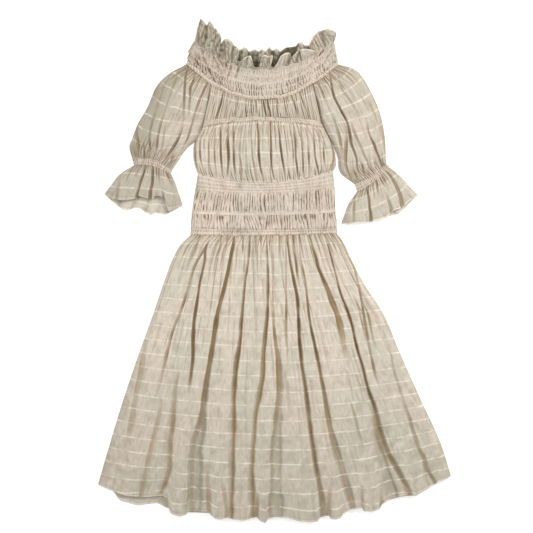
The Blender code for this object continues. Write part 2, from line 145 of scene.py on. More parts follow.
def carveFolds(grid, folds, spread=1.0):
    # Each fold is its left and right bank in mm, and its line of x, y, width and depth.
    # Gives how deep the folds cut and their painted shade, below 0 for a painted highlight on the lip.
    # The grid keeps the painted grey shade in wide recesses and how far the weft yarns slip across each fold.
    cut, shade, lipHighlight, grid.dusk, grid.slip = (np.zeros_like(grid.x) for _ in range(5))
    slips = np.random.default_rng(5).uniform(-foldLook["slip"], foldLook["slip"], len(folds))
    spots = -grid.y
    soften = smoothStep(spots, *foldLook["openOut"])
    for (leftBank, rightBank, line), step in zip(folds, slips):
        table = np.array(line, float)
        down = -table[:, 1]
        centre, width, depth = np.moveaxis(smoothCurve(down, table[:, [0, 2, 3]], spots), -1, 0)
        width = width * spread
        inside = np.clip((spots - down[0] + 4) / 4, 0, 1) * np.clip((down[-1] + 4 - spots) / 4, 0, 1)
        narrow = 1 - smoothStep(width, *foldLook["lineToTrough"])
        unrest = softNoise(spots / foldLook["bend"], table[0, 0] + 0 * spots, 6)
        depth = np.maximum(depth, 0) * inside * (0.95 + 0.3 * unrest)
        half = np.maximum(width * (1 + 0.25 * unrest), 1.0) / 2
        off = grid.x - centre - 0.5 * softNoise(spots / foldLook["bend"], table[-1, 0] + 0 * spots, 7)

        # the trough, with a broad shoulder and a low ridge beside it
        tight, level = 1 - 0.5 * narrow * (1 - smoothStep(width, 6, 11)), half * (0.7 - 0.3 * narrow)
        toLeft, toRight = np.maximum(-off - level, 0) / tight, np.maximum(off - level, 0) / tight
        form = np.exp(-(toLeft / leftBank) ** 1.5 - (toRight / rightBank) ** 1.5)
        shoulder = 0.16 * bell(off, half + 9.0)
        ridge = 0.13 * bell(np.abs(off) - half - 3.2, 2.2)
        cut = np.maximum(cut, depth * (0.8 - 0.2 * narrow) * form) + depth * (0.3 * shoulder - ridge)

        # painted shade: the dark core, towards the steeper bank
        lean = np.clip((rightBank - leftBank) / 2.5, -1, 1)
        coreHalf = (half * 0.24 * (1 - narrow) + (half * 1.05 + 0.3) * narrow) * (1 - 0.55 * soften)
        fromCore = np.abs(off + lean * (half - coreHalf))
        core = bell(np.maximum(fromCore - coreHalf, 0), 0.7 + 2.3 * soften)
        steepSide = 1 if leftBank <= rightBank else -1
        core = core * (1 - foldLook["lightOnBank"] * (0.5 + 0.5 * np.tanh(1.8 * steepSide * off / (half + 0.4))))
        shade = np.maximum(shade, core * np.clip(depth / 6.5, 0, 1) * (0.46 + 0.58 * narrow) * (1 - 0.12 * soften))

        # painted grey shade in the trough, a painted highlight on the lip, and the step in the weft yarns
        soft = bell(np.maximum(np.abs(off) - half * 0.8, 0), 2.0 + half * 0.35)
        grid.dusk = np.maximum(grid.dusk, soft * np.clip(depth / 11.0, 0, 1) * (1 - 0.6 * narrow))
        toLip = np.abs(off) if leftBank == rightBank else off * math.copysign(1, leftBank - rightBank)
        lipHighlight = np.maximum(lipHighlight, bell(toLip - half - 2.0, 1.3) * np.clip(depth / 8.0, 0, 1))
        grid.slip += step * 0.5 * (1 + np.tanh(off / 2.0)) * np.clip(depth / 8.0, 0, 1)
    return cut, np.where(shade > 0.25, shade, shade - 0.55 * lipHighlight * (1 - 4 * shade))


def dents(grid, spots):
    # soft dents with painted dark shade, at given places
    dark = np.zeros_like(grid.x)
    for x, y, wide, high, depth in spots:
        dark = np.maximum(dark, depth * np.exp(-((grid.x - x) / wide) ** 2 - ((grid.y - y) / high) ** 2))
    return dark


def crown(valleys):
    # a painted highlight on the crests between gathers, given as a shade below 0
    return -(1 - np.clip(3.2 * valleys, 0, 1)) ** 2


def strayCreases(grid, seed, *kinds):
    # Fine creases along the warp between the main folds. A kind is how many, and the least and most
    # of their start, length, width and depth in mm. A start below 0 is taken from the foot.
    chance = np.random.default_rng(seed)
    cut, shade = np.zeros_like(grid.x), np.zeros_like(grid.x)
    for count, *ranges in kinds:
        for k in range(count):
            middle = (k + chance.uniform(0.1, 0.9)) / count
            start, length, width, depth = (chance.uniform(*pair) for pair in ranges)
            drift, lean = chance.uniform(-5, 5), chance.uniform(0.6, 1.7)
            along = (grid.down - start if start >= 0 else grid.length - grid.down + start) / length
            ends = smoothStep(along, -0.01, 0.06 if abs(start) > 3 else 0) * (1 - smoothStep(along, 0.35, 1))
            off = (grid.s - middle) * grid.rowWidth - drift * along
            form = np.exp(-(np.maximum(-off, 0) / (width * lean)) ** 1.3
                          - (np.maximum(off, 0) * lean / width) ** 1.3) * ends
            cut = np.maximum(cut, depth * form)
            # painted shade along each crease's core
            core = bell(off, 0.45 * width + 0.5) * ends
            shade = np.maximum(shade, core * np.clip(depth / 4.5, 0, 1) * 0.75)
    return cut, shade


def darker(shade, strayShade):
    # a stray crease's painted shade replaces a fold's only where it is the darker one
    return np.where(strayShade > 0.1, np.maximum(shade, strayShade), shade)


def mixRows(first, second, share):
    return tuple(a + (b - a) * share for a, b in zip(first, second))


def rowPoint(row, share):
    hang = 4 * share * (1 - share)
    return (row[0] + (row[2] - row[0]) * share + hang * row[4],
            row[1] + (row[3] - row[1]) * share - hang * row[5])


def partOfRow(row, start, end):
    # the same parabola between two shares of its width
    span = (end - start) ** 2
    return (*rowPoint(row, start), *rowPoint(row, end), row[4] * span, row[5] * span)


def clothGrid(rows, across, down):
    # rows are left x, left y, right x, right y, and how far the middle hangs in x and in y
    table = np.array(rows, float)
    middles = np.array([rowPoint(row, 0.5) for row in rows])
    knots = np.concatenate([[0], np.cumsum(np.linalg.norm(np.diff(middles, axis=0), axis=1))])
    length = knots[-1]
    edges = np.array([0, 0.0015, 0.004])
    s = np.concatenate([edges, np.linspace(0.008, 0.992, across - 6), 1 - edges[::-1]])[None, :]
    t = np.linspace(0, 1, down)[:, None]
    rail = smoothCurve(knots / length, table, t[:, 0]) if len(rows) > 2 else np.array(
        [mixRows(rows[0], rows[1], share) for share in t[:, 0]])
    leftX, leftY, rightX, rightY, hangX, hangY = (rail[:, k:k + 1] for k in range(6))
    hang = 4 * s * (1 - s)
    x = leftX + (rightX - leftX) * s + hang * hangX
    y = leftY + (rightY - leftY) * s - hang * hangY
    width = np.hypot(rightX - leftX, rightY - leftY)
    side = np.minimum(s, 1 - s) * width
    s, t, side, hangY = (np.array(np.broadcast_to(value, x.shape)) for value in (s, t, side, hangY))
    return SimpleNamespace(s=s, t=t, x=x, y=y, side=side, down=t * length, length=length,
                           hangY=hangY, rowWidth=width, dusk=np.zeros_like(x), slip=np.zeros_like(x))


def layHem(grid, line, reach):
    # pull the last rows down to the hem's own line of x, y
    places = np.array(line, float)
    drop = np.interp(grid.x[-1], places[:, 0], places[:, 1]) - grid.y[-1]
    grid.y = grid.y + drop[None, :] * grid.t ** reach


def sideRise(grid, roll=16.0):
    # the front layer rolls down to the back layer at both sides
    return np.sin(0.5 * math.pi * np.clip(grid.side / roll, 0, 1))


def sideWrap(grid, drop=2.7, reach=2.4):
    return drop * (1 - np.clip(grid.side / reach, 0, 1)) ** 2


def shellUnderside(down, across, count):
    # every second row and column of the top's grid, with all the points of its rim
    rows = [*range(0, down - 1, 2), down - 1]
    columns = [*range(0, across - 1, 2), across - 1]
    faces = []
    for r0, r1 in zip(rows, rows[1:]):
        for c0, c1 in zip(columns, columns[1:]):
            upper = [(r0, c) for c in (range(c0, c1) if r0 == 0 else (c0,))]
            right = [(r, c1) for r in (range(r0, r1) if c1 == across - 1 else (r0,))]
            lower = [(r1, c) for c in (range(c1, c0, -1) if r1 == down - 1 else (c1,))]
            left = [(r, c0) for r in (range(r1, r0, -1) if c0 == 0 else (r1,))]
            faces.append([count + r * across + c for r, c in upper + right + lower + left])
    return faces


def clothShell(name, grid, height, shade, cloth, wall=clothLook["wallThickness"]):
    # a closed thin shell whose top is the grid at these heights
    down, across = grid.x.shape
    padded = np.pad(height, 2, mode="edge")
    lowest = np.min([padded[a:a + down, b:b + across] for a in range(5) for b in range(5)], axis=0)
    lowest[0], lowest[-1], lowest[:, 0], lowest[:, -1] = height[0], height[-1], height[:, 0], height[:, -1]
    top = np.stack([grid.x, grid.y, height], axis=-1).reshape(-1, 3)
    below = np.stack([grid.x, grid.y, np.maximum(lowest - wall, 0.05)], axis=-1).reshape(-1, 3)
    count = len(top)
    index = np.arange(count).reshape(down, across)
    quads = np.stack([index[:-1, :-1], index[1:, :-1], index[1:, 1:], index[:-1, 1:]], -1).reshape(-1, 4)
    ring = np.concatenate([index[0, :-1], index[:-1, -1], index[-1, :0:-1], index[:0:-1, 0]])
    following = np.roll(ring, -1)
    rim = np.stack([ring, following, following + count, ring + count], axis=-1)
    faces = quads.tolist() + rim.tolist() + shellUnderside(down, across, count)
    used = np.unique(np.concatenate([np.array(face) for face in faces[len(quads):]] + [quads.ravel()]))
    renumber = np.zeros(2 * count, int)
    renumber[used] = np.arange(len(used))
    faces = [renumber[face].tolist() for face in faces]
    mesh = bpy.data.meshes.new(name)
    mesh.from_pydata((np.concatenate([top, below])[used] * mm).tolist(), [], faces)

    # where each point lies on the flat cloth, for the weave, and its painted shade and highlight
    clothDown = getattr(grid, "clothDown", grid.down) - cloth.get("firstSlub", 0.0) + grid.slip
    place = np.stack([(grid.s - 0.5) * cloth["flat"][0] / mm, clothDown], -1).reshape(-1, 2) * mm
    layer = mesh.uv_layers.new(name="cloth")
    corners = used[np.fromiter((v for face in faces for v in face), int)] % count
    layer.data.foreach_set("uv", place[corners].astype(np.float32).ravel())
    hem = {"foot": (1 - grid.t) * grid.length, "top": grid.t * grid.length}.get(
        cloth.get("hem"), 900 + 0 * grid.t)
    for label, values in (("shade", shade), ("dusk", grid.dusk), ("hemDistance", hem * mm)):
        attribute = mesh.attributes.new(label, "FLOAT", "POINT")
        attribute.data.foreach_set("value", np.clip(np.ravel(values), -1, 1)[used % count].astype(np.float32))
    mesh.shade_smooth()
    mesh.set_sharp_from_angle(angle=math.radians(75))
    piece = bpy.data.objects.new(name, mesh)
    bpy.context.scene.collection.objects.link(piece)
    mesh.materials.append(cloth["material"])
    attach(piece, "root")
    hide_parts(cloth["node"])


def layBackLayer(name, rows, size, waves, shade, cloth, seed):
    # A plain layer that lies flat under the front. Waves are their height, number across and length.
    grid = clothGrid(rows, *size)
    height = backLevel + waves[0] * ripple(grid, waves[1], waves[2], seed)
    # an even painted shade, as the layer lies under the front
    clothShell(name, grid, height, shade + 0 * grid.s, cloth, clothLook["backThickness"])


times, plus, minus, timesPlus, rounded, positive, larger, sine, divided = (
    {"operation": word} for word in ("MULTIPLY", "ADD", "SUBTRACT", "MULTIPLY_ADD", "ROUND", "ABSOLUTE",
                                     "MAXIMUM", "SINE", "DIVIDE"))
smoothRange = {"interpolation_type": "SMOOTHSTEP"}


def wovenCotton(name, look):
    # Cotton voile, plain-woven from fine slubby yarn: matt, softly crinkled, with thick pale weft yarns
    material = bpy.data.materials.new(name)
    material.use_nodes = True
    tree = material.node_tree
    shader = tree.nodes["Principled BSDF"]
    across = addNode(tree, "SeparateXYZ", {}, [addNode(tree, "UVMap", {"uv_map": "cloth"}, [])])
    down = across.node.outputs[1]
    hem, dusk, shade = (addNode(tree, "Attribute", {"attribute_name": label}, [], "Fac")
                        for label in ("hemDistance", "dusk", "shade"))

    def clothPattern(cell, detail, shift, downPlace=None):
        # uneven cells laid out in real millimetres across and down the flat cloth
        if downPlace is None:
            downPlace = addNode(tree, "Math", times, [down, 1000 / cell[1]])
        acrossPlace = addNode(tree, "Math", times, [across, 1000 / cell[0]])
        place = addNode(tree, "CombineXYZ", {}, [acrossPlace, downPlace, shift])
        return addNode(tree, "TexNoise", {}, {"Vector": place, "Scale": 1.0, "Detail": detail})

    # thick weft yarns: they sway a little, and each one comes and goes along its line
    longSway = addNode(tree, "Math", timesPlus, [clothPattern((40, 60), 1.0, 3.0), 3.0 * mm, -1.5 * mm])
    shortSway = addNode(tree, "Math", timesPlus, [clothPattern((7, 40), 1.0, 5.0), 2.2 * mm, -1.1 * mm])
    swayed = addNode(tree, "Math", plus, [down, addNode(tree, "Math", plus, [longSway, shortSway])])
    yarns = addNode(tree, "Math", divided, [swayed, clothLook["slubSpacing"] * mm])
    nearest = addNode(tree, "Math", rounded, [yarns])
    away = addNode(tree, "Math", positive, [addNode(tree, "Math", minus, [yarns, nearest])])
    half = clothLook["slubWidth"] / clothLook["slubSpacing"] / 2
    slubLine = addNode(tree, "MapRange", smoothRange, [away, half * 1.5, half * 0.3, 0.0, 1.0])
    along = clothPattern((22, 1), 3.0, 7.0, addNode(tree, "Math", times, [nearest, 5.3]))
    broken = addNode(tree, "MapRange", smoothRange, [along, 0.36, 0.6, 0.12, 1.0])
    slub = addNode(tree, "Math", times, [addNode(tree, "Math", times, [slubLine, broken]), look["slub"]])

    crinkle = clothPattern(clothLook["crinkle"], 2.0, 11.0)
    pucker = clothPattern(clothLook["pucker"], 3.0, 13.0)
    pitch = 2 * math.pi * 1000 / clothLook["threadPitch"]
    warp, weft = (addNode(tree, "Math", sine, [addNode(tree, "Math", times, [way, pitch])]) for way in (across, down))
    weave = addNode(tree, "Math", times, [warp, weft])
    hemSeam = addNode(tree, "Math", positive, [addNode(tree, "Math", minus, [hem, clothLook["hemWidth"] * mm])])

    # Layers of colour over the warm ground: colour, pattern, where it starts and is full, and how strong.
    layers = [(addNode(tree, "MapRange", smoothRange, [pattern, start, full, 0.0, most]), colour)
              for colour, pattern, start, full, most in (
                  ("cool", clothPattern(clothLook["tonePatch"], 2.0, 23.0), 0.36, 0.64, 1.0),
                  # painted shade in the fine crinkles and the puckers, and a painted highlight on the pucker crowns
                  ("creaseShadeColour", crinkle, 0.3, 0.7, look["crinkleShade"]),
                  ("creaseShadeColour", pucker, 0.46, 0.7, look["pucker"]),
                  ("fleckAndHighlight", pucker, 0.45, 0.25, look["pucker"]),
                  ("duskColour", clothPattern(clothLook["rumple"], 3.0, 19.0), 0.45, 0.7, 0.24),
                  ("fleckAndHighlight", clothPattern(clothLook["fleckAndHighlight"], 2.0, 17.0), 0.5, 0.75, 0.12),
                  ("slubAndHighlightColour", hem, clothLook["hemWidth"] * mm, 0.7 * clothLook["hemWidth"] * mm, 0.35),
                  # painted shade along the hem's stitch line
                  ("creaseShadeColour", hemSeam, 1.3 * mm, 0.5 * mm, 0.35))]
    # the shade attribute is a painted highlight below 0 and painted shade above 0
    crestHighlight = addNode(tree, "Math", larger, [addNode(tree, "Math", times, [shade, -1.0]), 0.0])
    hollowShade = addNode(tree, "Math", larger, [shade, 0.0])
    # over these go the painted grey shade, the slub yarns, the painted highlight and the painted shade
    layers += [(addNode(tree, "Math", times, [dusk, look["duskDepth"]]), "duskColour"), (slub, "slubAndHighlightColour"),
               (addNode(tree, "Math", times, [crestHighlight, look["crestHighlight"]]), "slubAndHighlightColour"),
               (addNode(tree, "Math", times, [hollowShade, look["shadeDepth"]]), "shadeColour")]
    body = linearColour(look["warm"])
    for share, colour in layers:
        body = addNode(tree, "Mix", {"data_type": "RGBA"}, {0: share, 6: body, 7: linearColour(look[colour])}, 2)

    hemStitch = addNode(tree, "MapRange", smoothRange, [hemSeam, 1.3 * mm, 0.5 * mm, 0.0, 1.0])
    relief = addNode(tree, "Math", times, [crinkle, 0.9])
    for pattern, weight in ((slub, 0.6), (pucker, -1.3), (weave, 0.05), (hemStitch, -0.5)):
        relief = addNode(tree, "Math", timesPlus, [pattern, weight, relief])
    bump = addNode(tree, "Bump", {}, {"Height": relief, "Strength": look["bump"], "Distance": 0.8 * mm})
    tree.links.new(body, shader.inputs["Base Color"])
    tree.links.new(bump, shader.inputs["Normal"])
    shader.inputs["Roughness"].default_value = 0.86
    shader.inputs["Metallic"].default_value = 0.0
    shader.inputs["IOR"].default_value = 1.46
    shader.inputs["Specular IOR Level"].default_value = 0.25
    shader.inputs["Sheen Weight"].default_value = 0.12
    shader.inputs["Sheen Roughness"].default_value = 0.5
    return material


# the cloth's own colours, with the colours painted for its shade and highlights
voileLook = {"warm": "#dfd2c2", "cool": "#d5cebd", "creaseShadeColour": "#b3a590", "fleckAndHighlight": "#ece3d5",
             "slubAndHighlightColour": "#f5ebdd", "shadeColour": "#8b7047", "shadeDepth": 0.94,
             "duskColour": "#918a77", "duskDepth": 0.6,
             "crinkleShade": 0.26, "pucker": 0.34, "slub": 0.62, "crestHighlight": 0.6, "bump": 0.7}
voile = wovenCotton("plainWovenCottonVoile", voileLook)
frillVoile = wovenCotton(      # one layer, so the painted shade in its folds is greyer
    "singleLayerFrillVoile", {**voileLook, "shadeColour": "#64583f", "shadeDepth": 0.86})
shirred = wovenCotton(         # drawn up on elastic rows: denser and warmer, and the slubs don't show
    "shirredCottonVoile", {**voileLook, "warm": "#e8d8c8", "cool": "#e0d6c8", "slub": 0.15,
                           "shadeColour": "#80684c", "shadeDepth": 0.88})
tunnel = wovenCotton(          # folded double over elastic: even and pale
    "elasticTunnelVoile", {**voileLook, "warm": "#e6d8c7", "cool": "#e0d5c4", "slub": 0.1, "shadeDepth": 0.7})
backVoile = wovenCotton(       # the back layer, in the front layer's shade
    "backLayerVoile", {**voileLook, "warm": "#d4c9b9", "cool": "#cdc6b6", "shadeColour": "#4b402b",
                       "shadeDepth": 0.92})
frontCloth = {"slot": "voile", "material": voile, "held": "gathered"}
shirredCloth = {"slot": "shirring", "material": shirred, "held": "gathered"}
tunnelCloth = {"slot": "casing", "material": tunnel, "held": "gathered"}
backCloth = {"slot": "underlayer", "material": backVoile, "held": "gathered"}
print("materials made")


neckTop = (-185, 527, 137, 529, -5.0, 65)
neckFoot = (-200, 483, 145, 483, -1.5, 82)
casingFoot = (-203, 475, 147, 475, -1.0, 82)
leftRaglan, rightRaglan = 0.164, 0.833       # where the sleeves' seams start, as shares of the neck

# A frill's free edge, pleat by pleat: share of the neck seam below it, x, y, height and painted shade.
frontFrill = (
    (0.001, -173, 573, 6, 0.5), (0.02, -169, 578, 10, 0.15), (0.045, -161, 572, 11, 0.3),
    (0.067, -155, 565, 5, 1), (0.088, -151, 573, 11, 0.3), (0.11, -145, 570, 12, 0.1),
    (0.124, -138, 560, 9, 0.45), (0.146, -130, 549, 12, 0.1), (0.171, -122, 536, 12, 0.1),
    (0.182, -123, 522, 6, 0.9), (0.197, -115, 531, 9, 0.5), (0.218, -107, 532, 13, 0.05),
    (0.24, -98, 527, 13, 0.05), (0.255, -93, 518, 8, 0.7), (0.276, -86, 513, 13, 0.05),
    (0.298, -82, 507, 13, 0.1), (0.312, -83, 491, 7, 0.8), (0.32, -87, 483, 4.5, 1),
    (0.334, -78, 480, 8, 0.5), (0.352, -69, 488, 11, 0.1), (0.363, -62, 492, 8, 0.5),
    (0.377, -56, 493, 12, 0.05), (0.399, -52, 484, 11, 0.1), (0.421, -47, 469, 7, 0.5),
    (0.45, -37, 467, 8, 0.25), (0.464, -29, 471, 12, 0.05), (0.475, -31, 483, 13, 0.1),
    (0.486, -28, 492, 9, 0.5), (0.504, -21, 495, 12, 0.1), (0.522, -13, 492, 9, 0.5),
    (0.537, -5, 494, 13, 0.05), (0.544, -5, 484, 11, 0.1), (0.551, -8, 469, 6, 0.5),
    (0.565, -2, 467, 6, 0.35), (0.58, 6, 477, 12, 0.05), (0.602, 16, 493, 13, 0.05),
    (0.631, 29, 500, 13, 0.1), (0.652, 36, 499, 9, 0.6), (0.67, 38, 490, 6, 1),
    (0.688, 45, 496, 11, 0.1), (0.71, 53, 503, 13, 0.1), (0.732, 57, 506, 7, 1),
    (0.753, 62, 508, 13, 0.1), (0.79, 72, 508, 15, 0), (0.833, 85, 506, 15, 0),
    (0.869, 95, 502, 12, 0.2), (0.876, 79, 511, 6, 0.8), (0.887, 80, 522, 9, 0.35),
    (0.902, 85, 532, 11, 0.3), (0.916, 91, 540, 12, 0.3), (0.931, 99, 549, 13, 0.2),
    (0.945, 106, 550, 9, 0.9), (0.96, 113, 553, 13, 0.1), (0.974, 123, 554, 15, 0),
    (0.985, 133, 551, 15, 0), (0.993, 141, 546, 13, 0.3), (1, 142, 542, 9, 0.5),
)
# The back frill has its painted shade twice, at the edge and at the seam.
backFrill = (
    (0.001, -171, 564, 1.5, 0.4, 0.6), (0.139, -141, 547, 1.5, 0.4, 0.6),
    (0.189, -123, 524, 2, 0.3, 0.6), (0.262, -100, 519, 2.5, 0.3, 0.7),
    (0.305, -83, 509, 2.5, 0.5, 0.9), (0.327, -77, 509, 4, 0.3, 0.7), (0.345, -70, 515, 4.5, 0.1, 0.5),
    (0.367, -63, 512, 4.5, 0.1, 0.6), (0.385, -57, 505, 2.5, 0.7, 0.9), (0.406, -52, 508, 4, 0.3, 1),
    (0.428, -43, 510, 4.5, 0.2, 1), (0.45, -37, 505, 2.5, 0.7, 1), (0.464, -32, 509, 4.5, 0.1, 0.7),
    (0.486, -24, 509, 4.5, 0.1, 0.5), (0.5, -20, 505, 2.5, 0.7, 0.7), (0.515, -16, 512, 4.5, 0.1, 0.5),
    (0.533, -10, 515, 4.5, 0.1, 0.6), (0.547, -6, 509, 2.5, 0.8, 1), (0.558, -3, 508, 2.5, 0.8, 1),
    (0.576, 3, 512, 4.5, 0.1, 0.9), (0.594, 9, 509, 4, 0.3, 1), (0.609, 13, 504, 2, 0.9, 1),
    (0.631, 20, 511, 2.5, 0.9, 1), (0.674, 34, 515, 3, 0.9, 0.9), (0.717, 50, 519, 3, 0.85, 0.8),
    (0.732, 53, 524, 4.5, 0.5, 0.9), (0.746, 59, 526, 5, 0.05, 0.1), (0.768, 66, 524, 5, 0.05, 0.15),
    (0.782, 69, 519, 3, 0.6, 0.6), (0.797, 76, 518, 3, 0.4, 0.6), (0.84, 86, 522, 1.5, 0.5, 0.6),
    (0.927, 109, 536, 1.5, 0.4, 0.5), (0.999, 132, 536, 1.2, 0.4, 0.5),
)
frillFolds = (
    (2, 2, ((-155, 570, 2, 3), (-160, 557, 3, 5), (-166, 540, 3, 5), (-169, 520, 2, 2))),
    (2, 2, ((-144, 564, 2, 3), (-145, 547, 3, 5), (-150, 529, 2, 4), (-151, 513, 2, 2))),
    (2, 2, ((-172, 559, 2, 0), (-174, 540, 2, 4), (-176, 522, 2, 3))),
    (2, 2, ((-135, 545, 2, 0), (-137, 527, 2, 3), (-144, 508, 2, 3))),
    (2, 2, ((-123, 531, 3, 5), (-131, 520, 3, 6), (-135, 508, 3, 5), (-130, 494, 2, 3))),
    (2, 2, ((-116, 522, 2, 3), (-114, 504, 3, 5), (-112, 485, 2, 4))),
    (2, 2, ((-105, 524, 2, 2), (-106, 506, 2, 4), (-105, 485, 2, 4))),
    (2, 2, ((-94, 515, 2, 4), (-97, 499, 3, 5), (-98, 478, 2, 4))),
    (2, 2, ((-75, 481, 2, 4), (-77, 471, 2, 3))),
    (2, 2, ((-62, 490, 2, 3), (-63, 478, 2, 4), (-66, 465, 2, 3))),
    (2, 2, ((-53, 481, 2, 3), (-49, 465, 2, 3))),
    (2, 2, ((-26, 488, 2, 3), (-23, 476, 2, 4), (-22, 465, 2, 2))),
    (2, 2, ((-13, 490, 2, 3), (-12, 478, 2, 4), (-13, 465, 2, 2))),
    (2, 2, ((20, 494, 2, 2), (15, 483, 2, 4), (10, 469, 2, 3))),
    (2, 2, ((26, 494, 2, 3), (23, 483, 2, 4), (22, 471, 2, 3))),
    (2, 2, ((38, 490, 3, 5), (43, 481, 3, 6), (47, 471, 2, 4))),
    (2, 2, ((45, 492, 2, 3), (51, 483, 2, 5), (54, 474, 2, 3))),
    (2, 2, ((57, 504, 2, 5), (59, 492, 2, 6), (63, 478, 2, 4))),
    (2, 2, ((89, 536, 2, 3), (95, 522, 2, 5), (101, 511, 2, 3))),
    (2, 2, ((94, 539, 2, 3), (102, 524, 2, 5), (108, 513, 2, 3))),
    (2, 2, ((101, 543, 2, 3), (109, 529, 2, 5), (115, 518, 2, 3))),
    (2, 2, ((84, 529, 2, 3), (90, 518, 2, 4), (95, 506, 2, 3))),
    (2, 2, ((109, 540, 2, 2), (116, 531, 2, 4), (123, 522, 2, 3))),
    (2, 2, ((118, 545, 2, 3), (125, 536, 2, 4), (130, 527, 2, 3))),
)
# Dents with painted dark shade: x, y, half width and half height in mm, and darkness.
frillDents = (
    (-125, 527, 3.7, 6.9, 0.9), (-130, 516, 3.7, 4.6, 0.9), (-123, 506, 3.2, 4.6, 0.8),
    (-115, 516, 3, 4.6, 0.6), (-155, 564, 3, 6.9, 0.8), (-164, 545, 2.8, 6, 0.55),
    (-146, 538, 2.8, 6.9, 0.6), (-179, 515, 3.7, 4.6, 0.45), (-171, 527, 2.8, 5.8, 0.4),
    (-139, 515, 3, 6.9, 0.5), (-151, 508, 3.2, 4.6, 0.5), (-105, 518, 2.8, 4.6, 0.45),
    (-112, 499, 2.8, 6.9, 0.6), (-98, 490, 2.8, 6.9, 0.5), (-85, 485, 3.2, 3.2, 0.9),
    (-77, 471, 3.7, 2.1, 0.5), (-67, 474, 2.8, 2.1, 0.4), (-54, 465, 5.8, 1.6, 0.3),
    (21, 471, 2.8, 3.7, 0.5), (46, 476, 2.3, 4.6, 0.6), (63, 481, 2.3, 3.7, 0.5),
    (113, 549, 3.4, 2.1, 0.9), (118, 539, 5.5, 1.6, 0.6), (130, 537, 5.5, 1.6, 0.6),
    (100, 531, 2.3, 4.6, 0.4), (109, 515, 2.3, 5.5, 0.4), (86, 518, 2.3, 6, 0.45),
)
neckbandDents = (
    (-151, 492, 3.2, 6.9, 0.6), (-141, 481, 3, 6.9, 0.6), (-130, 471, 3.2, 5.5, 0.5),
    (-164, 485, 3.2, 4.6, 0.4), (-112, 471, 2.8, 6.9, 0.6), (-100, 462, 2.8, 6.9, 0.5),
    (-121, 453, 3.2, 3.7, 0.5), (-135, 444, 3.7, 3.2, 0.5), (-148, 462, 2.8, 5.5, 0.45),
    (-137, 421, 5.1, 2.3, 0.6), (-121, 425, 3.7, 3.7, 0.45), (-86, 462, 2.5, 6.9, 0.35),
    (-176, 476, 3.2, 3.7, 0.4), (-155, 439, 3.7, 2.8, 0.4), (-105, 435, 3.7, 2.8, 0.4),
    (95, 481, 3.2, 3.2, 0.5), (84, 467, 3.2, 3.2, 0.4), (109, 490, 3, 3.7, 0.4),
    (118, 504, 2.8, 4.6, 0.4), (56, 430, 3.2, 3.2, 0.45), (38, 423, 2.8, 3.7, 0.35),
)
neckbandFolds = (
    (3, 3, ((-151, 518, 2, 0), (-146, 504, 3, 4), (-139, 490, 3, 5), (-130, 471, 3, 4), (-123, 453, 2, 0))),
    (3, 3, ((-139, 536, 2, 3), (-146, 515, 3, 5), (-137, 497, 3, 6), (-125, 481, 3, 5), (-116, 465, 3, 4),
    (-112, 439, 2, 0))),
    (4, 3, ((-105, 508, 3, 4), (-100, 490, 4, 6), (-100, 471, 4, 6), (-105, 453, 3, 4), (-112, 435, 2, 0))),
    (3, 3, ((-167, 508, 2, 3), (-162, 485, 3, 5), (-151, 462, 3, 5), (-139, 439, 3, 4), (-128, 421, 2, 0))),
    (3, 3, ((-181, 504, 2, 3), (-181, 485, 3, 5), (-171, 467, 3, 4), (-160, 448, 2, 0))),
    (3, 3, ((-116, 515, 2, 3), (-114, 497, 3, 5), (-112, 476, 3, 5), (-107, 462, 2, 0))),
    (3, 3, ((-86, 490, 2, 4), (-82, 471, 3, 5), (-86, 453, 3, 4), (-93, 435, 2, 0))),
    (3, 3, ((-125, 462, 2, 0), (-121, 444, 3, 4), (-128, 425, 3, 4), (-137, 412, 2, 2))),
    (3, 3, ((116, 522, 2, 3), (112, 508, 3, 5), (100, 492, 3, 5), (89, 476, 2, 0))),
    (3, 3, ((130, 518, 2, 3), (128, 501, 3, 4), (118, 485, 3, 4), (107, 469, 2, 0))),
    (3, 3, ((100, 508, 3, 5), (93, 492, 3, 6), (84, 476, 3, 5), (72, 460, 2, 0))),
    (3, 3, ((68, 467, 2, 0), (59, 453, 3, 4), (54, 439, 3, 4), (56, 428, 2, 2))),
)
frillLook = {
    "gathers": 62, "fineLines": 118, "curls": 70,
    "leftPeaks": (0.16, 0.34),       # the standing peaks end between these shares of the neck
    "rim": 0.07,                     # share of the frill's height that gets a painted highlight on its edge
    "dusk": 0.44,
}
neckLook = {
    "bandGathers": 58, "fineGathers": 83, "bandDepth": 2.6,
    "threadRows": [0.26, 0.53, 0.8],     # elastic rows, as shares of the way down the band
    "dusk": 0.26,
}


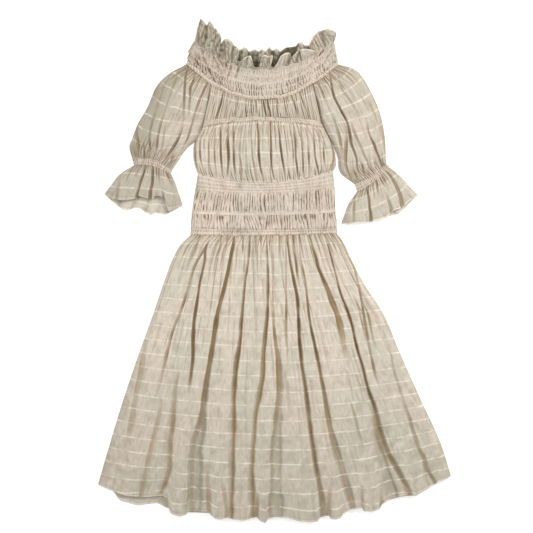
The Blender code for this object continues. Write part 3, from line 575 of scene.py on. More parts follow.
def layFrill(name, table, folds, spots, seam, base, across, cloth, seed):
    knots = np.array(table, float)
    feet = np.array([rowPoint(seam, share) for share in knots[:, 0]])
    steps = np.hypot(*np.diff(knots[:, 1:3], axis=0).T) + np.hypot(*np.diff(feet, axis=0).T)
    places = np.concatenate([[0], np.cumsum(steps)]) / steps.sum()
    grid = clothGrid([(0, 0, 1, 0, 0, 0), (0, -1, 1, -1, 0, 0)], across, 44)
    foot, edgeX, edgeY, edgeZ, *dark = np.moveaxis(smoothCurve(places, knots, grid.s), -1, 0)
    hang = 4 * foot * (1 - foot)
    seamX = seam[0] + (seam[2] - seam[0]) * foot + hang * seam[4]
    seamY = seam[1] + (seam[3] - seam[1]) * foot - hang * seam[5]
    free = 1 - grid.t
    grid.x = seamX + (edgeX - seamX) * free ** 0.85 + 0.8 * softNoise(grid.s * 90, grid.t * 5, seed) * free
    grid.y = seamY + (edgeY - seamY) * free - 3.0 * grid.t
    grid.length = float(np.hypot(edgeX - seamX, edgeY - seamY).mean())
    grid.down = grid.t * grid.length
    grid.side = np.minimum(foot, 1 - foot) * abs(seam[2] - seam[0])

    cut, creased = carveFolds(grid, folds)
    fine = gatherValleys(foot, grid.down, frillLook["gathers"], seed + 5, 0.8, 9)
    height = base + (np.maximum(edgeZ, 1) - 1) * np.sin(0.5 * math.pi * np.clip(free, 0, 1)) ** 0.8
    height = height - 1.3 * fine * (0.35 + 0.65 * grid.t) + 0.5 * softNoise(grid.s * 60, grid.t * 4, seed + 7)
    crumple = softNoise(grid.x / 4.5, grid.y / 5.5, seed + 9) * (cloth["crumple"] + 1.1 * np.exp(-(foot / 0.28) ** 4))
    dented = dents(grid, spots)
    height = height - 0.6 * cut + 1.0 * crumple - 2.4 * dented

    # painted shade in the pleats, gathers, fine lines, curls, crumples and dents, a painted highlight on the rim and
    # crowns, and painted grey shade towards the left end and the sides
    edgeDark, seamDark = dark[0], dark[-1] if len(dark) > 1 else dark[0] * 0.55
    peaks = 1 - smoothStep(foot, *frillLook["leftPeaks"])
    lines = gatherValleys(foot, grid.down, frillLook["fineLines"], seed + 13, 1.2, 14, 1.8)
    shade = (edgeDark * free + seamDark * grid.t) * (1 - 0.35 * peaks) + 0.45 * fine * (0.3 + 0.7 * grid.t)
    shade = shade + (0.25 + 0.6 * peaks) * lines * (0.5 + 0.5 * free)
    curls = bell(softNoise(foot * frillLook["curls"], grid.down / 8, seed + 15), 0.12)
    shade = shade * (1 - 0.2 * peaks) + (0.12 + 0.34 * peaks) * curls
    shade = shade * (1 - 0.5 * smoothStep(grid.t, 0.8, 1.0)) + 0.5 * np.clip(-crumple, 0, 1)
    shade = np.where(creased > 0.05, np.maximum(shade, creased), shade + 0.6 * creased)
    shade = np.maximum(shade, dented)
    rim = bell(grid.t, frillLook["rim"]) * (0.6 + 0.4 * softNoise(grid.s * 50, 0 * grid.t, seed + 11))
    shade = shade * (1 - 0.6 * rim) - 0.75 * rim + 0.35 * crown(fine) * (shade < 0.3)
    grid.dusk = np.clip(frillLook["dusk"] + 0.3 * (1 - smoothStep(foot, 0.2, 0.45)) + 0.5 * fade(grid.side, 12), 0, 1)
    clothShell(name, grid, np.maximum(height, cloth["floor"]), shade, cloth, 0.6)


layFrill("ruffleBack", backFrill, (), (), neckTop, 1.6, 220,
         {**backCloth, "node": "ruffle_back", "flat": (0.36, 0.045), "hem": "top", "floor": 0.9,
          "crumple": 1.2}, 31)
layFrill("ruffleFront", frontFrill, frillFolds, frillDents, neckTop, 6.2, 420,
         {**frontCloth, "node": "ruffle_front", "material": frillVoile, "flat": (0.44, 0.035), "hem": "top",
          "floor": 3.4, "crumple": 0.6}, 41)

bandMiddle = mixRows(neckTop, neckFoot, 0.5)
grid = clothGrid([neckTop, (bandMiddle[0] - 5, *bandMiddle[1:]), neckFoot], 380, 66)
grid.x = grid.x + 2.2 * softNoise(0 * grid.s, grid.down / 6, 49) * bell(grid.s, 0.02)
grid.y = grid.y + 2.2 * softNoise(grid.s * 44, 0 * grid.t, 50) * (1 - grid.t) ** 3
cut, dark = carveFolds(grid, neckbandFolds)
smocked = smoothCurve([0, 0.3, 0.5, 0.6, 0.72, 1], [0.55, 0.4, 0.35, 0.8, 1.15, 1.0], grid.t)
dented = dents(grid, neckbandDents)
fine = gatherValleys(grid.s, grid.down, neckLook["bandGathers"], 51, 0.5, 9.0, 1.3)
broken = gatherValleys(grid.s + 0.004 * grid.down / 9, grid.down, neckLook["fineGathers"], 55, 0.7, 4.5, 1.5)
crumple = ripple(grid, 110, 6.5, 52)
ends = 0.8 + 1.6 * bell(grid.s - 0.08, 0.16) + 0.5 * bell(grid.s - 0.98, 0.1)
slant = softNoise(grid.s * 34 + grid.down / 22, grid.down / 26, 53)
rowsOfThread = bell(grid.t[..., None] - neckLook["threadRows"], 0.04).sum(-1)
height = 3.4 + 1.0 * slant * ends - neckLook["bandDepth"] * fine * smocked - 1.4 * broken
height = height + 0.7 * crumple * ends + 0.6 * rowsOfThread - 0.7 * cut - 2.2 * dented
height = height * np.clip(sideRise(grid, 10) + 0.15, 0, 1)
height = height * smoothStep(grid.t, -0.35, 0.12) + 2.6 * (1 - smoothStep(grid.t, 0, 0.12))
height = np.maximum(seamLevel + height, 2.2) - sideWrap(grid, 1.4)
# painted shade in the gathers, crumples, folds, curls and dents, painted highlights on the crowns and the elastic
# rows, and painted grey shade at the sides and the left end
shade = 1.1 * fine ** 1.5 * smocked + 0.8 * broken ** 1.5 + 0.4 * np.clip(-crumple - 0.1, 0, 1) * ends
shade = shade + dark + 0.4 * crown(fine) * smocked
curls = bell(ripple(grid, 92, 6.0, 58), 0.13) * np.clip(0.5 + ripple(grid, 30, 14, 59), 0, 1)
shade = shade * (0.75 + 0.35 * smoothStep(grid.t, 0.3, 0.7)) + 0.5 * curls * (0.6 + 0.4 * ends)
beadedHighlight = np.clip(0.7 + 0.8 * ripple(grid, 120, 4, 60), 0.1, 1.3)
shade = np.maximum(shade * (1 - 0.55 * rowsOfThread) - 0.42 * rowsOfThread * beadedHighlight, dented)
grid.dusk = np.clip(neckLook["dusk"] + 0.5 * fade(grid.side, 8) + 0.3 * (1 - smoothStep(grid.s, 0.05, 0.4)), 0, 1)
clothShell("neckbandFront", grid, height, shade, {**shirredCloth, "node": "neckband_front", "flat": (0.54, 0.05)})
layBackLayer("neckbandBack", [neckTop, casingFoot], (120, 16), (0.3, 30, 9), 0.25,
             {**backCloth, "node": "neckband_back", "flat": (0.46, 0.06)}, 57)


def layCasing(name, top, foot, ripples, cords, cloth, seed):
    # A narrow elastic tunnel, drawn up so that gathers from both sides run over it.
    # A cord is its share of the way down, its half width as a share and its height in mm.
    grid = clothGrid([mixRows(top, foot, -0.06), mixRows(top, foot, 1.06)], max(100, ripples * 8), 19)
    crimp = cloth.get("crimp", 1.0)
    grid.y = grid.y + 1.3 * crimp * softNoise(grid.s * ripples * 0.4, 0 * grid.s, seed + 2)
    grid.y = grid.y + softNoise(grid.s * 9, 0 * grid.s, seed + 3)
    pucker = gatherValleys(grid.s, grid.down, ripples, seed, 0.8, 12, 1.2)
    uneven = 1 + 0.4 * softNoise(grid.s * ripples * 0.9, grid.down / 8, seed + 4)
    dots = 0.5 + 0.5 * softNoise(grid.s * ripples * 1.3, grid.down / 9, seed + 6)
    # painted shade in the puckers and stitch lines, a painted highlight on each cord, and painted grey shade at the
    # sides
    height, shade = 0.9 + 1.3 * (1 - pucker), pucker * crimp
    for place, size, rise in cords:
        roll = bell(grid.t - place, size)
        height = height + rise * roll * (1 - 0.45 * pucker) * uneven
        stitch = bell(np.abs(grid.t - place) - 1.5 * size, 0.4 * size)
        shade = shade * (1 - 0.3 * roll) + 0.5 * stitch * dots * uneven - 0.45 * roll * (1 - pucker) * dots * uneven
    grid.dusk = 0.15 + 0.4 * fade(grid.side, 7)
    height = seamLevel + height * np.clip(sideRise(grid, 5) + 0.3, 0, 1) - sideWrap(grid, 2.2)
    clothShell(name, grid, height, shade, cloth, 0.6)


layCasing("neckCasing", neckFoot, casingFoot, 52, ((0.45, 0.26, 1.8),),
          {**tunnelCloth, "node": "neck_casing", "flat": (0.52, 0.010)}, 61)
print("neck laid")


yokeTop = partOfRow(casingFoot, leftRaglan, rightRaglan)
yokeRows = (yokeTop, (-153, 386, 97, 386, -1.0, 16), (-163, 344, 106, 344, -0.5, -10))
bodiceRows = (
    (-167, 330, 113, 330, -2.0, -15),
    (-183, 298, 129, 298, -2.0, -1),
    (-187, 264, 140, 264, -5.5, 9),
    (-182, 239, 141, 241, -8.5, 15),
    (-176, 224, 135, 229, -3.5, 24),
)
yokeFolds = (
    (2, 2, ((-144, 416, 2, 0), (-153, 393, 3, 6), (-162, 352, 3, 6), (-167, 324, 2, 3))),
    (2, 2, ((-118, 409, 2, 4), (-123, 386, 3, 6), (-132, 354, 3, 5), (-137, 334, 2, 2))),
    (2, 2, ((-66, 396, 2, 4), (-66, 375, 2, 5), (-64, 352, 2, 4))),
    (2, 2, ((-54, 396, 2, 5), (-54, 375, 2, 5), (-52, 354, 2, 3))),
    (2, 2, ((-43, 393, 2, 4), (-41, 370, 2, 5), (-38, 352, 2, 3))),
    (2, 2, ((-26, 391, 2, 5), (-22, 370, 3, 6), (-18, 352, 2, 4))),
    (2, 2, ((-16, 393, 3, 8), (-12, 370, 3, 8), (-9, 343, 4, 9))),
    (2, 2, ((6, 396, 3, 5), (6, 375, 3, 5), (7, 352, 2, 3))),
    (2, 2, ((38, 405, 2, 4), (47, 377, 3, 5), (54, 352, 2, 3))),
    (2, 2, ((56, 412, 2, 4), (66, 386, 3, 5), (77, 356, 2, 3))),
    (2, 2, ((-89, 400, 2, 4), (-89, 377, 2, 4), (-89, 352, 2, 3))),
    (2, 2, ((21, 398, 2, 4), (24, 375, 2, 4), (26, 352, 2, 3))),
    (3, 3, ((100, 400, 3, 6), (107, 370, 4, 7), (114, 338, 3, 5))),
)
bodiceFolds = (
    (3, 3, ((-181, 324, 3, 3), (-182, 290, 3, 5), (-181, 255, 3, 5), (-174, 223, 2, 0))),
    (3, 3, ((-169, 315, 2, 0), (-171, 294, 3, 5), (-170, 260, 3, 5), (-164, 228, 2, 3))),
    (3, 3, ((-150, 320, 2, 0), (-151, 297, 3, 5), (-151, 255, 3, 6), (-150, 218, 2, 3))),
    (3, 3, ((-136, 324, 2, 3), (-138, 290, 3, 5), (-137, 251, 3, 5), (-133, 218, 2, 2))),
    (3, 3, ((-124, 329, 3, 5), (-124, 301, 4, 7), (-123, 260, 4, 7), (-120, 223, 3, 3))),
    (3, 3, ((-106, 331, 4, 5), (-107, 306, 6, 8), (-106, 274, 7, 9), (-106, 244, 5, 8),
        (-109, 218, 3, 4))),
    (3, 3, ((-95, 331, 3, 4), (-94, 294, 4, 7), (-93, 255, 4, 7), (-89, 214, 3, 3))),
    (4, 4, ((-84, 278, 2, 0), (-79, 255, 4, 5), (-76, 232, 5, 7), (-77, 207, 4, 5))),
    (4, 4, ((-66, 320, 2, 2), (-66, 278, 3, 3), (-63, 232, 3, 3), (-59, 209, 2, 2))),
    (3, 3, ((-54, 331, 2, 3), (-52, 278, 3, 5), (-48, 244, 3, 6), (-43, 209, 2, 3))),
    (3, 3, ((-39, 338, 4, 7), (-37, 301, 5, 9), (-36, 264, 5, 9), (-32, 232, 4, 8),
        (-24, 205, 3, 4))),
    (3, 3, ((-9, 347, 5, 9), (-9, 313, 4, 9), (-8, 267, 3, 9), (-6, 237, 3, 6),
        (-1, 209, 2, 3))),
    (3, 3, ((3, 343, 2, 0), (8, 329, 3, 7), (13, 294, 4, 8), (18, 255, 4, 8), (22, 228, 3, 4),
        (26, 200, 2, 2))),
    (3, 3, ((29, 244, 2, 0), (33, 223, 3, 5), (39, 200, 3, 4))),
    (3, 3, ((34, 336, 2, 4), (39, 306, 3, 6), (42, 278, 3, 5), (43, 237, 2, 2))),
    (3, 3, ((44, 329, 2, 3), (47, 301, 4, 7), (49, 260, 4, 8), (52, 228, 3, 6),
        (53, 205, 2, 3))),
    (3, 3, ((60, 331, 2, 4), (63, 290, 3, 5), (65, 251, 3, 6), (66, 214, 2, 4))),
    (3, 3, ((74, 331, 2, 4), (77, 290, 3, 4), (79, 244, 3, 6), (79, 214, 2, 3))),
    (3, 3, ((89, 329, 2, 4), (91, 290, 3, 5), (95, 251, 3, 6), (102, 221, 2, 4))),
    (3, 3, ((100, 324, 2, 3), (103, 290, 3, 4), (106, 255, 3, 4), (109, 223, 2, 3))),
    (3, 3, ((112, 310, 2, 3), (112, 278, 3, 6), (115, 244, 3, 4), (121, 225, 2, 3))),
    (4, 5, ((125, 317, 3, 4), (132, 290, 5, 7), (136, 264, 6, 8), (133, 241, 4, 5),
        (130, 225, 2, 2))),
    (3, 3, ((-161, 315, 2, 2), (-162, 290, 2, 3), (-161, 264, 2, 0))),
)
yokeLook = {"foldSpread": 0.8, "gathers": 52, "ceiling": [3.0, 5.0, 6.4, 5.2, 3.2], "dusk": 0.38}
bodiceLook = {"foldSpread": 0.68, "gathers": 60, "ceiling": [3.4, 6.2, 8.4, 6.8, 3.2], "foldDark": 0.84}

grid = clothGrid(yokeRows, 330, 74)
cut, shade = carveFolds(grid, yokeFolds, yokeLook["foldSpread"])
stray, strayShade = strayCreases(grid, 73, (46, (0, 0), (18, 60), (0.9, 1.8), (1.4, 3.4)),
                                 (44, (-0.01, -0.01), (14, 50), (0.9, 1.8), (1.4, 3.4)))
toFoot = grid.length - grid.down
fine = gatherValleys(grid.s, grid.down, yokeLook["gathers"], 71, 0.55, 34, 1.4)
depth = 0.8 + 1.6 * np.clip(fade(grid.down, 14) + fade(toFoot, 12), 0, 1)
ceiling = smoothCurve([0, 0.15, 0.5, 0.85, 1], yokeLook["ceiling"], grid.t) + 0.7 * ripple(grid, 16, 60, 72)
height = np.maximum(ceiling - np.maximum(cut, stray) - depth * fine, 0.3)
height = seamLevel + height * np.clip(sideRise(grid, 8) + 0.3, 0, 1)
# painted shade in folds, creases, gathers and at the top seam, a painted highlight on the gather crowns, and an even
# painted grey shade
shade = darker(shade, strayShade) + 0.3 * fine * depth + 0.3 * crown(fine) + 0.5 * fade(grid.down, 1.6)
grid.dusk = np.clip(grid.dusk + yokeLook["dusk"], 0, 1)
clothShell("yokeFront", grid, height, shade,
           {**frontCloth, "node": "yoke_front", "flat": (0.38, 0.056), "firstSlub": 12})

layCasing("bustCasing", yokeRows[-1], bodiceRows[0], 50, ((0.25, 0.1, 0.9), (0.66, 0.16, 1.9)),
          {**tunnelCloth, "node": "bust_casing", "flat": (0.38, 0.0125)}, 65)

grid = clothGrid(bodiceRows, 360, 100)
cut, shade = carveFolds(grid, bodiceFolds, bodiceLook["foldSpread"])
stray, strayShade = strayCreases(grid, 83, (42, (0, 0), (16, 80), (0.9, 2.0), (1.4, 3.6)),
                                 (46, (-0.01, -0.01), (14, 70), (1.0, 2.2), (1.4, 3.8)),
                                 (34, (2, 12), (70, 120), (0.8, 1.4), (1.8, 3.6)))
toFoot = grid.length - grid.down
fine = gatherValleys(grid.s, grid.down, bodiceLook["gathers"], 81, 0.6, 26, 1.4)
nearSeam = np.clip(fade(grid.down, 7) + fade(toFoot, 11), 0, 1)
ceiling = smoothCurve([0, 0.12, 0.5, 0.85, 1], bodiceLook["ceiling"], grid.t) + 0.9 * ripple(grid, 17, 60, 82)
height = np.maximum(ceiling - np.maximum(cut, stray) - (0.3 + 2.4 * nearSeam) * fine, 0.3)
height = seamLevel + height * np.clip(sideRise(grid, 12), 0, 1) - sideWrap(grid)
# painted shade in folds, creases, gathers and at the top seam, a painted highlight on the crowns, and painted grey
# shade at the sides
shade = darker(shade, strayShade) + (0.85 * fine + 0.4 * crown(fine)) * nearSeam + 0.4 * fade(grid.down, 1.6)
shade = np.where(shade > 0, bodiceLook["foldDark"] * shade, shade)
grid.dusk = np.maximum(0.8 * grid.dusk + 0.16, 0.5 * fade(grid.side, 6))
clothShell("bodiceFront", grid, height, shade,
           {**frontCloth, "node": "bodice_front", "flat": (0.50, 0.125), "firstSlub": 6})
layBackLayer("bodiceBack", [*yokeRows, *bodiceRows], (90, 60), (0.25, 24, 50), 0.2,
             {**backCloth, "node": "bodice_back", "flat": (0.35, 0.20), "held": "laid", "firstSlub": 10}, 85)
print("bodice laid")


waistRows = (
    (-176, 224, 135, 229, -3.5, 24),
    (-178, 192, 138, 197, -4.0, 11),
    (-182, 178, 139, 183, -3.0, 10),
    (-187, 155, 140, 159, -1.0, 7),
    (-189, 141, 140, 146, 0.5, 6),
    (-190, 135, 141, 139, 0.5, 6),
    (-190, 128, 141, 131, 0.5, 6),
    (-191, 115, 143, 115, 0.0, 5),
    (-192, 99, 144, 99, 0.0, 4),
    (-193, 83, 144, 87, 0.5, 3),
)
waistDents = (
    (-80, 195, 3.7, 6.9, 0.55), (-78, 209, 3.2, 4.6, 0.45), (-84, 92, 3.4, 6, 0.7),
    (-87, 108, 2.8, 4.6, 0.4), (101, 195, 2.5, 6.9, 0.35), (102, 140, 2.8, 6.9, 0.45),
    (66, 170, 3, 6.9, 0.35), (-29, 120, 5.5, 2.8, 0.5), (-15, 110, 5.1, 2.8, 0.45),
    (20, 163, 2.8, 6.9, 0.3), (-155, 152, 3.2, 4.6, 0.35), (-114, 163, 2.8, 6.9, 0.3),
    (130, 122, 3.2, 4.6, 0.4),
)
waistLook = {
    "upperPuff": (26, 66), "casing": (66, 75), "lowerPuff": (75, 107),     # mm below the top seam
    "threads": (6, 12, 18, 24, 113, 120), "strayThreads": [38, 50, 92],
    "puffHeight": (3.8, 3.6), "casingHeight": 1.8, "gatherDepth": 3.3, "fineDepth": 2.0,
    "puffGathers": (50, 47), "fineGathers": (83, 79), "bandPuckers": 74, "skirtGathers": 64,
}

grid = clothGrid(waistRows, 380, 122)
ragged = 1.3 + 1.5 * softNoise(grid.s * 70, 0 * grid.t, 92)
grid.y = grid.y + ragged * (1 - smoothStep(grid.t, 0, 0.07)) - ragged[:, ::-1] * smoothStep(grid.t, 0.93, 1)
bandTop, bandFoot = waistLook["upperPuff"][0], waistLook["lowerPuff"][1]


def band(start, end, soft=3.0):
    rise = 1 / (1 + np.exp(-(grid.down - start) / soft * 2.2))
    return rise / (1 + np.exp((grid.down - end) / soft * 2.2))


upper, lower = band(*waistLook["upperPuff"]), band(*waistLook["lowerPuff"])
channel = band(*waistLook["casing"], 1.4)
bands = np.clip(1 - upper - lower, 0, 1)
leaning = grid.s + 0.007 * ripple(grid, 13, 34, 88)
slanted = leaning - 0.012 * bell(grid.s - 0.44, 0.06) * (grid.down - 90) / 15
upperFold = gatherValleys(leaning, grid.down, waistLook["puffGathers"][0], 91, 0.45, 40, 1.3)
upperFine = gatherValleys(leaning, grid.down, waistLook["fineGathers"][0], 93, 1.1, 16, 1.5)
lowerFold = gatherValleys(slanted, grid.down, waistLook["puffGathers"][1], 95, 0.5, 38, 1.3)
lowerFine = gatherValleys(slanted, grid.down, waistLook["fineGathers"][1], 96, 1.1, 14, 1.5)
pucker = ripple(grid, waistLook["bandPuckers"], 5.0, 97)
fine = gatherValleys(grid.s, grid.down, waistLook["bandPuckers"], 98, 1.1, 5, 1.3)
skirtPull = gatherValleys(grid.s, grid.down, waistLook["skirtGathers"], 90, 0.8, 20, 1.3)
skirtPull = skirtPull * smoothStep(grid.down, bandFoot - 4, bandFoot + 3)
threads, ridges = (bell(grid.down[..., None] - np.array(waistLook["threads"]) + lift, 1.1).sum(-1)
                   for lift in (0, 3))
height = 1.6 + waistLook["puffHeight"][0] * upper + waistLook["puffHeight"][1] * lower
height = height + waistLook["casingHeight"] * channel
height = height - upper * (waistLook["gatherDepth"] * upperFold + waistLook["fineDepth"] * upperFine) - lower * (
    waistLook["gatherDepth"] * lowerFold + waistLook["fineDepth"] * lowerFine)
height = height - 1.1 * bands * fine + 0.4 * bands * pucker
height = height + bands * (0.9 * ridges - 0.8 * threads) * (1 - channel) - 1.6 * skirtPull
height = height + 0.5 * ripple(grid, 11, 40, 99)
height = seamLevel + np.maximum(height, 0.1) * np.clip(sideRise(grid, 8) + 0.2, 0, 1) - sideWrap(grid)

# painted shade in the gathers, the dark ticks under the casing, the band edges, the thread lines, the skirt's pull
# and the top seam; painted highlights on the rolled casing, the crowns, the ridges and along stray threads; and
# patchy painted grey shade, stronger at the sides
edges = bell(grid.down[..., None] - [bandTop, 66.5, 76, bandFoot], 1.3).sum(-1)
broken = np.clip(0.62 + 0.95 * ripple(grid, 64, 12, 87), 0.08, 1.35)
tickChance = np.clip(2.2 * softNoise(grid.s * 46, 0 * grid.down + 7, 86) - 0.1, 0, 1)
tickShade = tickChance * bell(grid.down - 81, 5.5) * (grid.down > 75.5)
rolled = bell(grid.down - 71.5 - 1.1 * softNoise(grid.s * 12, 0 * grid.down, 85), 1.7)
glints = np.clip(0.6 + 1.2 * softNoise(grid.s * 58, 0 * grid.down, 84), 0, 1.4)
shade = upper * (1.7 * upperFold ** 1.8 + 1.1 * upperFine ** 2)
shade = shade + lower * (1.7 * lowerFold ** 1.8 + 1.1 * lowerFine ** 2)
shade = 1.18 * shade * broken + 1.05 * tickShade - 0.5 * rolled * glints
shade = shade + 0.6 * upper * crown(upperFold) + 0.6 * lower * crown(lowerFold) + 0.3 * bands * crown(fine)
shade = shade + 0.6 * bands * fine ** 1.8 + edges * (0.25 + 0.45 * pucker)
shade = shade + bands * (0.42 * threads - 0.4 * ridges) * (0.7 + 0.6 * pucker) + 0.75 * skirtPull
shade = shade + 0.3 * fade(grid.down, 1.5) * (0.5 + pucker)
shade = shade - 0.12 * (upper + lower) * bell(grid.down[..., None] - waistLook["strayThreads"], 1.2).sum(-1)
dented = dents(grid, waistDents)
height, shade = np.maximum(height - 1.8 * dented, 1.0), np.maximum(shade, dented)
grid.dusk = np.clip(0.15 + 0.25 * ripple(grid, 7, 18, 94) + 0.4 * fade(grid.side, 6), 0, 1)
clothShell("waistFront", grid, height, shade, {**shirredCloth, "node": "waist_front", "flat": (0.46, 0.14)})
layBackLayer("waistBack", [waistRows[0], waistRows[4], waistRows[9]], (100, 40), (0.3, 40, 14), 0.2,
             {**backCloth, "node": "waist_back", "flat": (0.36, 0.14)}, 105)
print("waist laid")


